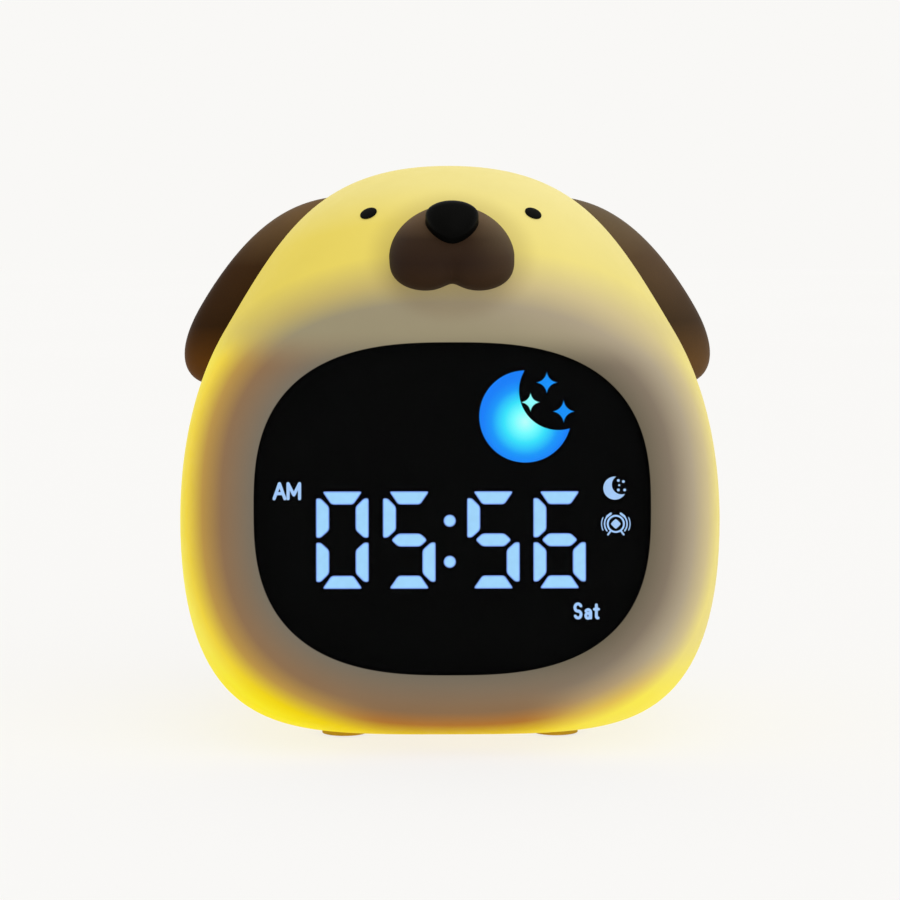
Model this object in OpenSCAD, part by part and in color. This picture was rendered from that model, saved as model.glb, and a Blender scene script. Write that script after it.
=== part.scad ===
// Kids alarm clock with night light.
// A milky two-part housing in the shape of a sitting dog's head holds a smoked
// display window, a stack of light boards, a rear control panel and a battery.
// Front is -Y, up is +Z and the feet stand on z = 0.  All sizes are in mm.

/* [Housing] */
// Overall width of the housing at its widest
body_width = 107.4; // [106.6:0.2:108.4]
// Height of the crown above the table
body_height = 112.5; // [111.5:0.5:113.5]
// Moulded wall thickness of both housing halves
wall = 2.4; // [2.2:0.1:2.6]
// Backward tilt of the display face in degrees
face_tilt = 5; // [4.5:0.5:5.5]

/* [Display] */
// Width of the smoked window
lens_width = 75.2; // [73:0.2:76]
// Height of the smoked window
lens_height = 63; // [61:0.5:63.5]
// Thickness of the smoked window
lens_thick = 2; // [1.8:0.1:2.2]
// Height of one numeral
digit_height = 18.5; // [17:0.5:19]

/* [Ears and muzzle] */
// Greatest thickness of an ear
ear_thick = 6.8; // [5.5:0.1:7.5]
// Half width of the muzzle
muzzle_half = 11.8; // [11.2:0.1:12.4]
// How far the muzzle stands off the housing
muzzle_proud = 7.4; // [7.2:0.1:7.6]

/* [Rear controls] */
// Diameter of one push button
button_d = 6.4; // [6:0.1:6.8]
// Distance between neighbouring buttons
button_pitch = 9.5; // [9.4:0.1:9.8]
// Travel of the power switch
switch_travel = 2; // [1.6:0.1:2]

/* [Feet] */
// Diameter of one rubber foot
foot_d = 9; // [8:0.5:9.5]
// Gap the feet leave under the housing
foot_gap = 1.2; // [1:0.1:1.4]

/* [Hidden] */
$fn = 28;

milk = [0.96, 0.93, 0.80];
smoke = [0.05, 0.05, 0.06];
white = [0.93, 0.93, 0.92];
board_green = [0.10, 0.35, 0.20];
metal = [0.75, 0.75, 0.74];
brown = [0.22, 0.13, 0.07];
black = [0.04, 0.04, 0.04];
grey = [0.60, 0.60, 0.60];

half = body_width / 2;
base_z = foot_gap;
waist_z = 42.3;
P_base = [[22.5, base_z], [half - 17.7, base_z], [half, 4], [half, waist_z]];
P_flank = [[half, waist_z], [half, 64.7], [half - 6.8, 76.4], [half - 8.9, 80]];
P_crown = [[half - 8.9, 80], [half - 20.3, 99.55], [25.8, body_height], [0, body_height]];
face_y = 42.1;
lens_z = 47.6;
front_clamp = 42.5;
front_soft = 18;
rear_clamp = 44.8;
rear_soft = 14;
rear_ratio = 0.95;
n_rear = 2.8;
NV = 24;
NU = 28;

tape = 0.3;
lip_z = -lens_thick - tape - 2;
board_t = 1.6;
led_z = -11;
back_led_z = led_z - board_t - 6;
screw_x = 35.5;
screw_y = 29.5;
digit_w = 10;
stroke = 2.5;
digit_x = [-25.9, -13.2, 2.8, 15.4];
digit_y = -15.2;

panel_y = 42.4;
panel_t = 2;
panel_z = 45;
inner_y = panel_y - panel_t;
board_y = 34.3;
button_z = 37;
button_x = [for (i = [-2:2]) i * button_pitch];
port_z = 27;
switch_x = -10;
speaker_z = 54;
tray_z = 7.2;
ear_gap = 0.2;
nose_y = -36.7;
nose_z = 102.25;
nose_tilt = 48;

// ---- curves of the housing -------------------------------------------------

function bez(P, t) =
  pow(1 - t, 3) * P[0] + 3 * pow(1 - t, 2) * t * P[1]
  + 3 * (1 - t) * t * t * P[2] + t * t * t * P[3];

// half profile seen from the front: v runs 0..3 from the base to the crown
function prof(v) = v < 1 ? bez(P_base, v) : v < 2 ? bez(P_flank, v - 1) : bez(P_crown, v - 2);

function clamp_to(y, p, k) = y * pow(1 + pow(y / p, k), -1 / k);
function rise(z) = max(0, (z - waist_z) / (body_height - waist_z));
function n_front(z) = 3.4 - 1.4 * pow(rise(z), 1.5);
function front_limit(z) = front_clamp - (z - 46) * tan(face_tilt);
function sec_r(a, b, n, u) = pow(pow(abs(cos(u)) / a, n) + pow(abs(sin(u)) / b, n), -1 / n);

// point of the outer surface: side -1 is the front half, +1 the rear half
function S(side, v, u) =
  v >= 2.9999 ? [0, 0, body_height] :
  let (p = prof(v), a = max(p[0], 1e-4), z = p[1])
  let (n = side < 0 ? n_front(z) : n_rear, b = side < 0 ? a : a * rear_ratio)
  let (r = sec_r(a, b, n, u), y0 = r * sin(u))
  let (y = side < 0 ? clamp_to(y0, front_limit(z), front_soft)
                    : clamp_to(y0, rear_clamp, rear_soft))
  [r * cos(u), side * y, z];

function unit(v) = v / max(norm(v), 1e-9);

// inward normal of that surface
function N(side, v, u) =
  let (e = 0.002, va = max(v - e, 0), vb = min(v + e, 2.999))
  let (ua = max(u - 0.2, 0), ub = min(u + 0.2, 180))
  unit(side * cross(S(side, vb, u) - S(side, va, u), S(side, v, ub) - S(side, v, ua)));

function inset_pt(side, v, u, w) =
  let (p = S(side, v, u))
  v <= 0 ? [p[0], p[1], base_z + w] :
  let (q = p + w * N(side, v, u))
  (u <= 0 || u >= 180) ? [q[0], 0, q[2]] : q;

function v_at(z, lo = 0, hi = 3, k = 22) =
  k == 0 ? (lo + hi) / 2 :
  let (m = (lo + hi) / 2)
  prof(m)[1] < z ? v_at(z, m, hi, k - 1) : v_at(z, lo, m, k - 1);

function half_at(z) = prof(v_at(z))[0];

// depth of the front surface in front of the parting plane
function front_depth(x, z) =
  let (a = half_at(z), n = n_front(z))
  clamp_to(a * pow(max(1 - pow(abs(x) / a, n), 1e-5), 1 / n), front_limit(z), front_soft);

// sideways reach of the rear half at a given depth and height
function side_reach(y, z) =
  let (a = half_at(z), b = a * rear_ratio)
  a * pow(max(1 - pow(abs(y) / b, n_rear), 0.001), 1 / n_rear);

function front_normal(x, z, e = 0.05) =
  unit([-(front_depth(x + e, z) - front_depth(x - e, z)) / (2 * e), -1,
        -(front_depth(x, z + e) - front_depth(x, z - e)) / (2 * e)]);

function side_normal(y, z, e = 0.05) =
  unit([1, -(side_reach(y + e, z) - side_reach(y - e, z)) / (2 * e),
        -(side_reach(y, z + e) - side_reach(y, z - e)) / (2 * e)]);

function side_point(y, z, h) = [side_reach(y, z), y, z] + h * side_normal(y, z);

// point of the parting outline, moved inward by w
function edge_pt(v, w) =
  let (e = 0.002, d = unit(prof(min(v + e, 3)) - prof(max(v - e, 0))))
  prof(v) + w * [-d[1], d[0]];

// ---- general helpers -------------------------------------------------------

module rod(x, z, y0, y1, d) {
  translate([x, y1, z]) rotate([90, 0, 0]) cylinder(d = d, h = y1 - y0);
}

module slab(y1, t) {
  translate([0, y1, 0]) rotate([90, 0, 0]) linear_extrude(t) children();
}

module on_face() {
  translate([0, -face_y, lens_z]) rotate([90 - face_tilt, 0, 0]) children();
}

// puts +Z of the children along a direction
module along(p, d) {
  translate(p) rotate([0, acos(d[2] / norm(d)), atan2(d[1], d[0])]) children();
}

function oval(a, b, n, count) =
  [for (i = [0:count - 1]) let (t = 360 * i / count)
    [a * sign(cos(t)) * pow(abs(cos(t)), 2 / n), b * sign(sin(t)) * pow(abs(sin(t)), 2 / n)]];

module window_shape(grow) {
  polygon(oval(lens_width / 2 + grow, lens_height / 2 + grow, 2.72, 64));
}

module board_shape() {
  polygon(oval(41, 35.5, 4, 48));
}

module panel_shape(grow) {
  translate([0, panel_z]) polygon(oval(32 + grow, 27 + grow, 3, 48));
}

function ring_faces(n, m, at, back) =
  [for (j = [0:n - 2], i = [0:m - 1])
    let (a = at + j * m + i, b = at + j * m + (i + 1) % m)
    let (c = b + m, d = a + m)
    each back ? [[a, c, b], [a, d, c]] : [[a, b, c], [a, c, d]]];

// closed pad between an outer and an inner stack of rings, centres first
module pad(out_c, out, in_c, in) {
  m = len(out[0]);
  no = len(out);
  ni = len(in);
  base = no * m;
  pole = (no + ni) * m;
  points = concat([for (r = out) each r], [for (r = in) each r], [out_c, in_c]);
  faces = concat(
    ring_faces(no, m, 0, false),
    ring_faces(ni, m, base, true),
    [for (i = [0:m - 1]) [pole, (i + 1) % m, i]],
    [for (i = [0:m - 1]) [pole + 1, base + i, base + (i + 1) % m]],
    [for (i = [0:m - 1])
      let (k = (i + 1) % m, a = (no - 1) * m, b = base + (ni - 1) * m)
      each [[a + i, a + k, b + k], [a + i, b + k, b + i]]]);
  polyhedron(points, faces, convexity = 4);
}

// pan-head screw with a cross recess, head seat at the origin, shank along -Z
module screw(d, len, head_d, head_h) {
  difference() {
    union() {
      cylinder(d = head_d, h = head_h);
      translate([0, 0, -len]) cylinder(d = d, h = len);
    }
    translate([-head_d * 0.3, -0.25, head_h * 0.45]) cube([head_d * 0.6, 0.5, head_h]);
    translate([-0.25, -head_d * 0.3, head_h * 0.45]) cube([0.5, head_d * 0.6, head_h]);
  }
}

module cross_shape(size, t) {
  union() {
    square([size, t], center = true);
    square([t, size], center = true);
  }
}

// round wire through a list of points, as a tube with mitred bends
module wire(path, d) {
  n = len(path);
  m = 8;
  dir = function(i) unit(path[min(i + 1, n - 1)] - path[max(i - 1, 0)]);
  rings = [for (i = [0:n - 1])
    let (t = dir(i), u = unit(cross(t, [0.12, 0.2, 1])), w = cross(t, u))
    for (k = [0:m - 1]) path[i] + d / 2 * (cos(360 * k / m) * u + sin(360 * k / m) * w)];
  faces = concat(
    ring_faces(n, m, 0, true),
    [[for (k = [0:m - 1]) k]],
    [[for (k = [m - 1:-1:0]) (n - 1) * m + k]]);
  polyhedron(rings, faces, convexity = 4);
}

// ---- housing halves --------------------------------------------------------

function flipped(side, f) = side < 0 ? f : [for (q = f) [for (k = [len(q) - 1:-1:0]) q[k]]];

module half_shell(side) {
  vs = [for (j = [0:NV - 1]) 3 * j / NV];
  us = [for (i = [0:NU]) 180 * i / NU];
  m = NU + 1;
  K = NV * m + 1;
  pts = concat(
    [for (v = vs, u = us) S(side, v, u)], [[0, 0, body_height]],
    [for (v = vs, u = us) inset_pt(side, v, u, wall)], [[0, 0, body_height - wall]]);
  quad = function(a, b, c, d) [[a, b, c], [a, c, d]];
  O = function(j, i) j == NV ? NV * m : j * m + i;
  I = function(j, i) K + O(j, i);
  f = concat(
    [for (j = [0:NV - 2], i = [0:NU - 1])
      each quad(O(j, i), O(j, i + 1), O(j + 1, i + 1), O(j + 1, i))],
    [for (i = [0:NU - 1]) [O(NV - 1, i), O(NV - 1, i + 1), O(NV, 0)]],
    [for (j = [0:NV - 2], i = [0:NU - 1])
      each quad(I(j, i), I(j + 1, i), I(j + 1, i + 1), I(j, i + 1))],
    [for (i = [0:NU - 1]) [I(NV - 1, i), I(NV, 0), I(NV - 1, i + 1)]],
    [for (j = [0:NV - 1]) each quad(O(j, 0), O(j + 1, 0), I(j + 1, 0), I(j, 0))],
    [for (j = [0:NV - 1]) each quad(O(j, NU), I(j, NU), I(j + 1, NU), O(j + 1, NU))],
    [[for (i = [NU:-1:0]) O(0, i)]],
    [[for (i = [0:NU]) I(0, i)]],
    [[O(0, 0), I(0, 0), I(0, NU), O(0, NU)]]);
  polyhedron(pts, flipped(side, f), convexity = 6);
}

// solid block bounded by the housing surface moved inward by w
module half_block(side, w) {
  nv = 18;
  nu = 20;
  m = nu + 1;
  vs = [for (j = [0:nv - 1]) 3 * j / nv];
  pts = concat(
    [for (v = vs, i = [0:nu]) inset_pt(side, v, 180 * i / nu, w)],
    [[0, 0, body_height - w]]);
  f = concat(
    [for (j = [0:nv - 2], i = [0:nu - 1]) let (a = j * m + i)
      each [[a, a + 1, a + m + 1], [a, a + m + 1, a + m]]],
    [for (i = [0:nu - 1]) [(nv - 1) * m + i, (nv - 1) * m + i + 1, nv * m]],
    [[for (i = [nu:-1:0]) i]],
    [concat([for (j = [0:nv]) j * m], [for (j = [nv - 1:-1:0]) j * m + nu])]);
  polyhedron(pts, flipped(side, f), convexity = 4);
}

module parting_shape(w) {
  mid = [for (j = [0:30]) edge_pt(3 * (j + 0.37) / 31, w)];
  right = concat([edge_pt(0, w)], mid, [edge_pt(3, w)]);
  left = [for (j = [31:-1:0]) [-right[j][0], right[j][1]]];
  polygon(concat(right, left));
}

case_low = [44.5, 26];
case_high = [22, 98];

module four_case() {
  for (s = [-1, 1]) {
    translate([s * case_low[0], 0, case_low[1]]) children();
    translate([s * case_high[0], 0, case_high[1]]) children();
  }
}

module four_corner() {
  for (x = [-screw_x, screw_x], y = [-screw_y, screw_y]) translate([x, y, 0]) children();
}

module four_panel() {
  for (x = [-23.6, 23.6], z = [-19.6, 19.6]) translate([x, 0, panel_z + z]) children();
}

module foot_spots(rear) {
  for (s = [-1, 1]) translate([s * 21, rear * 16, 0]) children();
}

module foot_pocket(rear) {
  foot_spots(rear) translate([0, 0, -1]) cylinder(d = foot_d + 0.2, h = base_z + 2.2);
}

eye_at = [15.9, 103.1];
function eye_normal(s) = let (n = front_normal(eye_at[0], eye_at[1])) [s * n[0], n[1], n[2]];
function eye_point(s) = [s * eye_at[0], -front_depth(eye_at[0], eye_at[1]), eye_at[1]];

module eye_hole(s) {
  along(eye_point(s) - 5 * eye_normal(s), eye_normal(s)) cylinder(d = 1.7, h = 10);
}

muzzle_pegs = [[-6.5, 95], [6.5, 95]];

module front_boss(h) {
  // round post with four thin webs, axis along -Y from the parting plane
  rotate([90, 0, 0]) {
    translate([0, 0, 0.4]) cylinder(d = 7, h = h);
    translate([0, 0, 6]) linear_extrude(h) cross_shape(9.2, 1.2);
  }
}

module front_shell() {
  color(milk) difference() {
    union() {
      half_shell(-1);
      difference() {
        slab(1.5, 3.5) parting_shape(1.3);
        slab(2.5, 5.5) parting_shape(2.7);
      }
      intersection() {
        half_block(-1, 1.1);
        union() {
          on_face() translate([0, 0, lip_z]) linear_extrude(3) window_shape(3.2);
          on_face() four_corner() {
            translate([0, 0, led_z]) cylinder(d = 5.6, h = 12);
            translate([0, 0, led_z + 2]) linear_extrude(10) cross_shape(8.4, 1);
          }
          four_case() front_boss(44);
        }
      }
    }
    on_face() translate([0, 0, -lens_thick - tape]) linear_extrude(9) window_shape(0.1);
    on_face() translate([0, 0, -9]) linear_extrude(12) window_shape(-3);
    on_face() four_corner() translate([0, 0, led_z - 1]) cylinder(d = 1.7, h = 8);
    four_case() rotate([90, 0, 0]) cylinder(d = 2.2, h = 14);
    for (p = muzzle_pegs) rod(p[0], p[1], -50, -20, 3.2);
    rod(0, nose_z - 2, -50, -20, 2.6);
    for (s = [-1, 1]) eye_hole(s);
    foot_pocket(-1);
  }
}

module rear_well(y0) {
  rotate([-90, 0, 0]) translate([0, 0, y0]) cylinder(d = 5.6, h = 60);
}

ear_stud = [12.5, 90];
ear_pin = [14, 79];

module ear_axis(s, at) {
  n = side_normal(at[0], at[1]);
  p = side_point(at[0], at[1], 0);
  along([s * p[0], p[1], p[2]], [s * n[0], n[1], n[2]]) children();
}

module rear_shell() {
  color(milk) difference() {
    union() {
      half_shell(1);
      intersection() {
        half_block(1, 1.1);
        union() {
          slab(inner_y + 0.8, 2.8) panel_shape(3);
          four_panel() rotate([-90, 0, 0]) translate([0, 0, 34.5]) cylinder(d = 5, h = 5.5);
          four_case() rotate([-90, 0, 0]) {
            translate([0, 0, 0.2]) cylinder(d = 8.4, h = 50);
            translate([0, 0, 6]) linear_extrude(50) cross_shape(12, 1.2);
          }
          for (s = [-1, 1]) translate([s * 27, 18, 2]) {
            cylinder(d = 6, h = tray_z - 2);
            linear_extrude(tray_z - 2.8) cross_shape(10, 1);
          }
          for (s = [-1, 1]) translate([s * 14, 30, 2]) cylinder(d = 6, h = tray_z - 2);
        }
      }
    }
    slab(1.8, 3) parting_shape(1.2);
    slab(60, 60 - inner_y) panel_shape(0.1);
    slab(60, 40) panel_shape(-5);
    four_panel() rotate([-90, 0, 0]) translate([0, 0, 35.5]) cylinder(d = 1.7, h = 8);
    four_case() rotate([-90, 0, 0]) cylinder(d = 3, h = 12);
    four_case() rear_well(6);
    for (s = [-1, 1]) {
      ear_axis(s, ear_stud) translate([0, 0, -6]) cylinder(d = 5.1, h = 12);
      ear_axis(s, ear_pin) translate([0, 0, -6]) cylinder(d = 2.5, h = 12);
      translate([s * 27, 18, 3.4]) cylinder(d = 1.8, h = 6);
    }
    foot_pocket(1);
  }
}

// ---- display ---------------------------------------------------------------

module display_lens() {
  color(smoke) on_face() translate([0, 0, -lens_thick]) {
    linear_extrude(lens_thick - 0.5) window_shape(0);
    translate([0, 0, lens_thick - 0.5]) linear_extrude(0.5, scale = 0.986) window_shape(0);
  }
}

module lens_adhesive() {
  color(black) on_face() translate([0, 0, -lens_thick - tape]) linear_extrude(tape)
    difference() {
      window_shape(-0.2);
      window_shape(-2.8);
    }
}

// the seven strokes of a numeral, lower left corner at the origin
module numeral() {
  w = digit_w;
  h = digit_height;
  t = stroke;
  g = 0.3;
  for (k = [0, 1]) translate([0, k * h]) mirror([0, k]) {
    polygon([[g, 0], [w - g, 0], [w - t - g, t], [t + g, t]]);
    for (j = [0, 1]) translate([j * w, 0]) mirror([j, 0])
      polygon([[0, g], [t, t + g], [t, h / 2 - t / 2 - g], [t / 2, h / 2 - g], [0, h / 2 - g]]);
  }
  polygon([[t / 2 + g, h / 2], [t + g, h / 2 + t / 2], [w - t - g, h / 2 + t / 2],
           [w - t / 2 - g, h / 2], [w - t - g, h / 2 - t / 2], [t + g, h / 2 - t / 2]]);
}

module digit_cells() {
  for (x = digit_x) translate([x, digit_y]) numeral();
  for (y = [-2.3, -10.1]) translate([-0.5, y]) circle(r = 1.15, $fn = 20);
}

module star(r) {
  polygon([for (i = [0:7]) let (q = i % 2 == 0 ? r : r * 0.34) [q * cos(45 * i), q * sin(45 * i)]]);
}

module picture_cells() {
  difference() {
    translate([13.9, 17.5]) circle(r = 8.75, $fn = 40);
    translate([20.2, 22.4]) circle(r = 7.5, $fn = 36);
  }
  translate([18, 23.95]) star(2);
  translate([14.9, 20.2]) star(1.75);
  translate([21.1, 18.5]) star(2.1);
  translate([-31.6, 3.5]) square([5.6, 3.6], center = true);
  translate([25.2, -19.2]) square([5.4, 3.6], center = true);
  translate([31, 3.8]) circle(r = 2.5, $fn = 24);
  translate([31, -2.9]) circle(r = 2.9, $fn = 24);
}

module display_mask() {
  color(black) on_face() translate([0, 0, -lens_thick - tape]) linear_extrude(tape)
    difference() {
      window_shape(-3);
      digit_cells();
      picture_cells();
    }
}

guide_t = 3.2;

module reflector_block() {
  color(white) on_face() difference() {
    union() {
      translate([0, 0, lip_z - 1]) linear_extrude(1 - lip_z - lens_thick - tape)
        window_shape(-3.3);
      translate([0, 0, led_z]) linear_extrude(lip_z - led_z) window_shape(2.4);
    }
    translate([0, 0, led_z - 1]) linear_extrude(12) digit_cells();
    translate([0, 0, led_z - 1]) linear_extrude(12) picture_cells();
  }
}

module digit_guides() {
  color(white) on_face() translate([0, 0, -lens_thick - tape - guide_t])
    linear_extrude(guide_t) digit_cells();
}

module picture_guides() {
  color(white) on_face() translate([0, 0, -lens_thick - tape - guide_t])
    linear_extrude(guide_t) picture_cells();
}

module board_plate(z) {
  translate([0, 0, z - board_t]) difference() {
    linear_extrude(board_t) board_shape();
    four_corner() translate([0, 0, -1]) cylinder(d = 2.3, h = 4);
  }
}

module display_board() {
  color(board_green) on_face() board_plate(led_z);
}

module led(x, y, w = 1.8, h = 1.1) {
  translate([x - w / 2, y - h / 2, led_z]) cube([w, h, 0.8]);
}

module display_leds() {
  w = digit_w;
  h = digit_height;
  q = stroke / 2;
  color(white) on_face() {
    for (x = digit_x) translate([x, digit_y, 0]) {
      for (y = [q, h / 2, h - q]) led(w / 2, y);
      for (y = [h * 0.29, h * 0.71], k = [q, w - q]) led(k, y);
    }
    led(-0.5, -2.3);
    led(-0.5, -10.1);
    for (p = [[8, 17], [10.5, 13], [15, 11.5], [9.5, 21.5]]) led(p[0], p[1]);
    for (p = [[18, 23.95], [14.9, 20.2], [21.1, 18.5]]) led(p[0], p[1], 0.9, 0.4);
    for (p = [[-31.6, 3.5], [25.2, -19.2], [31, 3.8], [31, -2.9]]) led(p[0], p[1]);
  }
}

module board_header() {
  color(black) on_face() translate([-10, 12, back_led_z]) difference() {
    cube([20, 5, 6]);
    for (i = [0:7]) translate([1.6 + 2.4 * i - 0.5, 1.2, 1]) cube([1, 2.6, 4]);
  }
}

module board_spacers() {
  color(white) on_face() four_corner() translate([0, 0, back_led_z]) difference() {
    cylinder(d = 5, h = 6);
    translate([0, 0, -1]) cylinder(d = 2.3, h = 8);
  }
}

module night_light_board() {
  color(white) on_face() board_plate(back_led_z);
}

module night_light_leds() {
  spots = oval(36.5, 31, 4, 18);
  color([0.98, 0.90, 0.45]) on_face() for (i = [0:17]) {
    keep = abs(abs(spots[i][0]) - screw_x) > 4.5 || abs(abs(spots[i][1]) - screw_y) > 4.5;
    if (keep) translate([spots[i][0], spots[i][1], back_led_z - board_t - 0.8])
      difference() {
        translate([-1.75, -1.4, -0.8]) cube([3.5, 2.8, 1.6]);
        translate([0, 0, -1.2]) cylinder(d = 2, h = 0.8);
      }
  }
}

module display_screws() {
  color(metal) on_face() four_corner() translate([0, 0, back_led_z - board_t])
    rotate([180, 0, 0]) screw(1.65, 15, 4, 1.5);
}

// ---- rear controls ---------------------------------------------------------

module grille_holes() {
  for (r = [0, 3.2, 6.4, 9.4]) {
    n = r == 0 ? 1 : round(2 * PI * r / 3.3);
    for (i = [0:n - 1]) rod(r * cos(360 * i / n), speaker_z + r * sin(360 * i / n), 38, 44, 1.6, $fn = 16);
  }
}

module slot_y(x, z, w, h, y0, y1) {
  translate([x - w / 2, y0, z - h / 2]) cube([w, y1 - y0, h]);
}

posts = [[-24.3, 42], [24.3, 42], [-16.6, 28], [16.6, 28]];
clamp_x = 14.8;

module usb_outline(w, h, y0, y1) {
  r = h / 2;
  slot_y(0, port_z, w - h, h, y0, y1);
  for (s = [-1, 1]) rod(s * (w / 2 - r), port_z, y0, y1, h);
}

module rear_panel() {
  color(white) difference() {
    union() {
      slab(panel_y, panel_t) panel_shape(0);
      for (p = posts) rod(p[0], p[1], board_y, inner_y, 4);
      for (s = [-1, 1]) rod(s * clamp_x, speaker_z, inner_y - 1, inner_y, 4.4);
    }
    grille_holes();
    for (x = button_x) {
      rod(x, button_z, 38, 44, button_d + 0.6);
      difference() {
        rod(x, button_z, panel_y - 0.5, 44, button_d + 2);
        rod(x, button_z, panel_y - 1, 45, button_d + 1.4);
      }
    }
    usb_outline(9.6, 3.9, 38, 44);
    slot_y(switch_x, port_z, 3.2 + switch_travel + 0.6, 2.7, 38, 44);
    slot_y(switch_x, port_z, 8.4, 4.4, panel_y - 0.6, 44);
    for (p = posts) rod(p[0], p[1], 33, 39, 1.3);
    for (s = [-1, 1]) rod(s * clamp_x, speaker_z, 38, 41.6, 1.3);
    four_panel() rotate([-90, 0, 0]) translate([0, 0, 38]) cylinder(d = 2.3, h = 6);
    four_panel() rotate([-90, 0, 0]) translate([0, 0, panel_y - 1.1]) cylinder(d = 4.2, h = 4);
  }
}

module panel_screws() {
  color(metal) four_panel() translate([0, panel_y - 1.1, 0]) rotate([-90, 0, 0])
    screw(1.65, 5, 3.9, 0.9);
}

module main_board() {
  color(board_green) difference() {
    slab(board_y, board_t) translate([0, 33.2]) polygon(oval(28, 11.6, 8, 40));
    for (p = posts) rod(p[0], p[1], 30, 36, 1.7);
    for (s = [-1, 1]) rod(s * 23.5, 25.5, 30, 36, 2);
  }
}

module board_screws() {
  color(metal) for (p = posts) translate([p[0], board_y - board_t, p[1]])
    rotate([90, 0, 0]) screw(1.25, 4.6, 3.2, 1.1);
}

module chip(x, z, w, h, t) {
  slot_y(x, z, w, h, board_y - board_t - t, board_y - board_t);
}

module main_chips() {
  color(black) {
    chip(-8, 37.5, 7, 7, 1);
    chip(6, 38.5, 5.2, 4, 1.6);
    chip(-8, 28.5, 3, 3, 0.9);
    chip(8.5, 31, 2.6, 1.6, 0.8);
    chip(2.5, 27, 4, 4, 2.2);
    for (i = [0:4]) chip(-1.5 + 1.9 * i, 33.8, 1, 1.8, 0.6);
    for (i = [0:3]) chip(-15.5 + 1.8 * i, 32.3, 1, 1.6, 0.6);
  }
}

module wire_headers() {
  color(white) {
    for (p = [[12.6, 39], [20.4, 32.6]]) difference() {
      chip(p[0], p[1], 6, 4.4, 5);
      chip(p[0], p[1], 4.6, 3, 6.5);
    }
    chip(-20.6, 33, 4, 14, 2);
    on_face() translate([-18, -16, back_led_z - board_t - 2]) cube([4, 14, 2]);
  }
}

module tap_sensor() {
  color(metal) translate([17.2, board_y - board_t - 2.4, 22.6]) rotate([0, 90, 0]) {
    translate([-1.7, 0, 0]) cylinder(d = 4.4, h = 7);
    translate([-1.7, 0, -0.6]) cylinder(d = 3, h = 8.2);
  }
}

module tact_switches() {
  color(metal) for (x = button_x) difference() {
    union() {
      slot_y(x, button_z, 6, 6, board_y, board_y + 3.1);
      slot_y(x, button_z, 5.4, 5.4, board_y, board_y + 3.5);
    }
    rod(x, button_z, board_y + 1.7, board_y + 5, 3.6);
  }
}

module button_cap(x) {
  color(grey) {
    rod(x, button_z, inner_y, panel_y + 0.7, button_d);
    rod(x, button_z, inner_y - 1, inner_y, button_d + 1.8);
  }
}

module plunger(x) {
  color(black) rod(x, button_z, board_y + 2.7, inner_y - 1, 3);
}

module power_switch_body() {
  color(metal) difference() {
    slot_y(switch_x, port_z, 8, 3.8, board_y, board_y + 4);
    slot_y(switch_x, port_z, 1.6 + switch_travel + 0.6, 2, board_y + 2.4, board_y + 5);
  }
}

module power_switch_knob() {
  x = switch_x - switch_travel / 2;
  color(black) {
    slot_y(x, port_z, 3.2, 2.1, board_y + 4.3, panel_y + 0.6);
    slot_y(x, port_z, 1.6, 1.4, board_y + 2.9, board_y + 4.3);
  }
}

module usb_shell() {
  color(metal) difference() {
    usb_outline(8.94, 3.26, board_y, panel_y - 0.3);
    usb_outline(8.34, 2.66, board_y + 1, panel_y + 1);
  }
}

module usb_tongue() {
  color(black) slot_y(0, port_z, 6.7, 0.7, board_y + 1, panel_y - 1.4);
}

// ---- speaker ---------------------------------------------------------------

module speaker_frame() {
  color(black) difference() {
    union() {
      rod(0, speaker_z, inner_y - 1, inner_y, 24);
      rod(0, speaker_z, inner_y - 4.4, inner_y - 1, 20);
    }
    rod(0, speaker_z, inner_y - 3.6, inner_y + 1, 18.6);
    for (i = [0:3]) rod(6.6 * cos(45 + 90 * i), speaker_z + 6.6 * sin(45 + 90 * i), 30, 40, 3);
  }
}

module speaker_magnet() {
  color(metal) rod(0, speaker_z, inner_y - 6.6, inner_y - 4.4, 13);
}

module speaker_cone() {
  color(grey) translate([0, inner_y, speaker_z]) rotate([90, 0, 0]) rotate_extrude()
    polygon([[0, 1.1], [2.6, 1.7], [3.4, 2.2], [7.2, 0.9], [8.3, 0.5], [9.3, 0.8],
             [9.3, 1.1], [8.3, 0.8], [7.2, 1.2], [3.4, 2.5], [2.5, 2], [0, 1.4]]);
}

module speaker_clamp() {
  color(metal) difference() {
    union() {
      rod(0, speaker_z, inner_y - 2, inner_y - 1, 25);
      slot_y(0, speaker_z, 2 * clamp_x, 4.4, inner_y - 2, inner_y - 1);
      for (s = [-1, 1]) rod(s * clamp_x, speaker_z, inner_y - 2, inner_y - 1, 4.4);
    }
    rod(0, speaker_z, 30, 45, 20.2);
    for (s = [-1, 1]) rod(s * clamp_x, speaker_z, 30, 45, 1.7);
  }
}

module speaker_screws() {
  color(metal) for (s = [-1, 1]) translate([s * clamp_x, inner_y - 2, speaker_z])
    rotate([90, 0, 0]) screw(1.25, 3, 3, 1);
}

// ---- battery and wiring ----------------------------------------------------

module battery_cell() {
  color([0.45, 0.50, 0.60]) difference() {
    translate([-21.6, 4.8, tray_z + 1.2]) cube([43.2, 27, 7.6]);
    translate([-22, 4, tray_z + 1 + 6.2]) cube([44, 2, 3]);
  }
}

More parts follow.
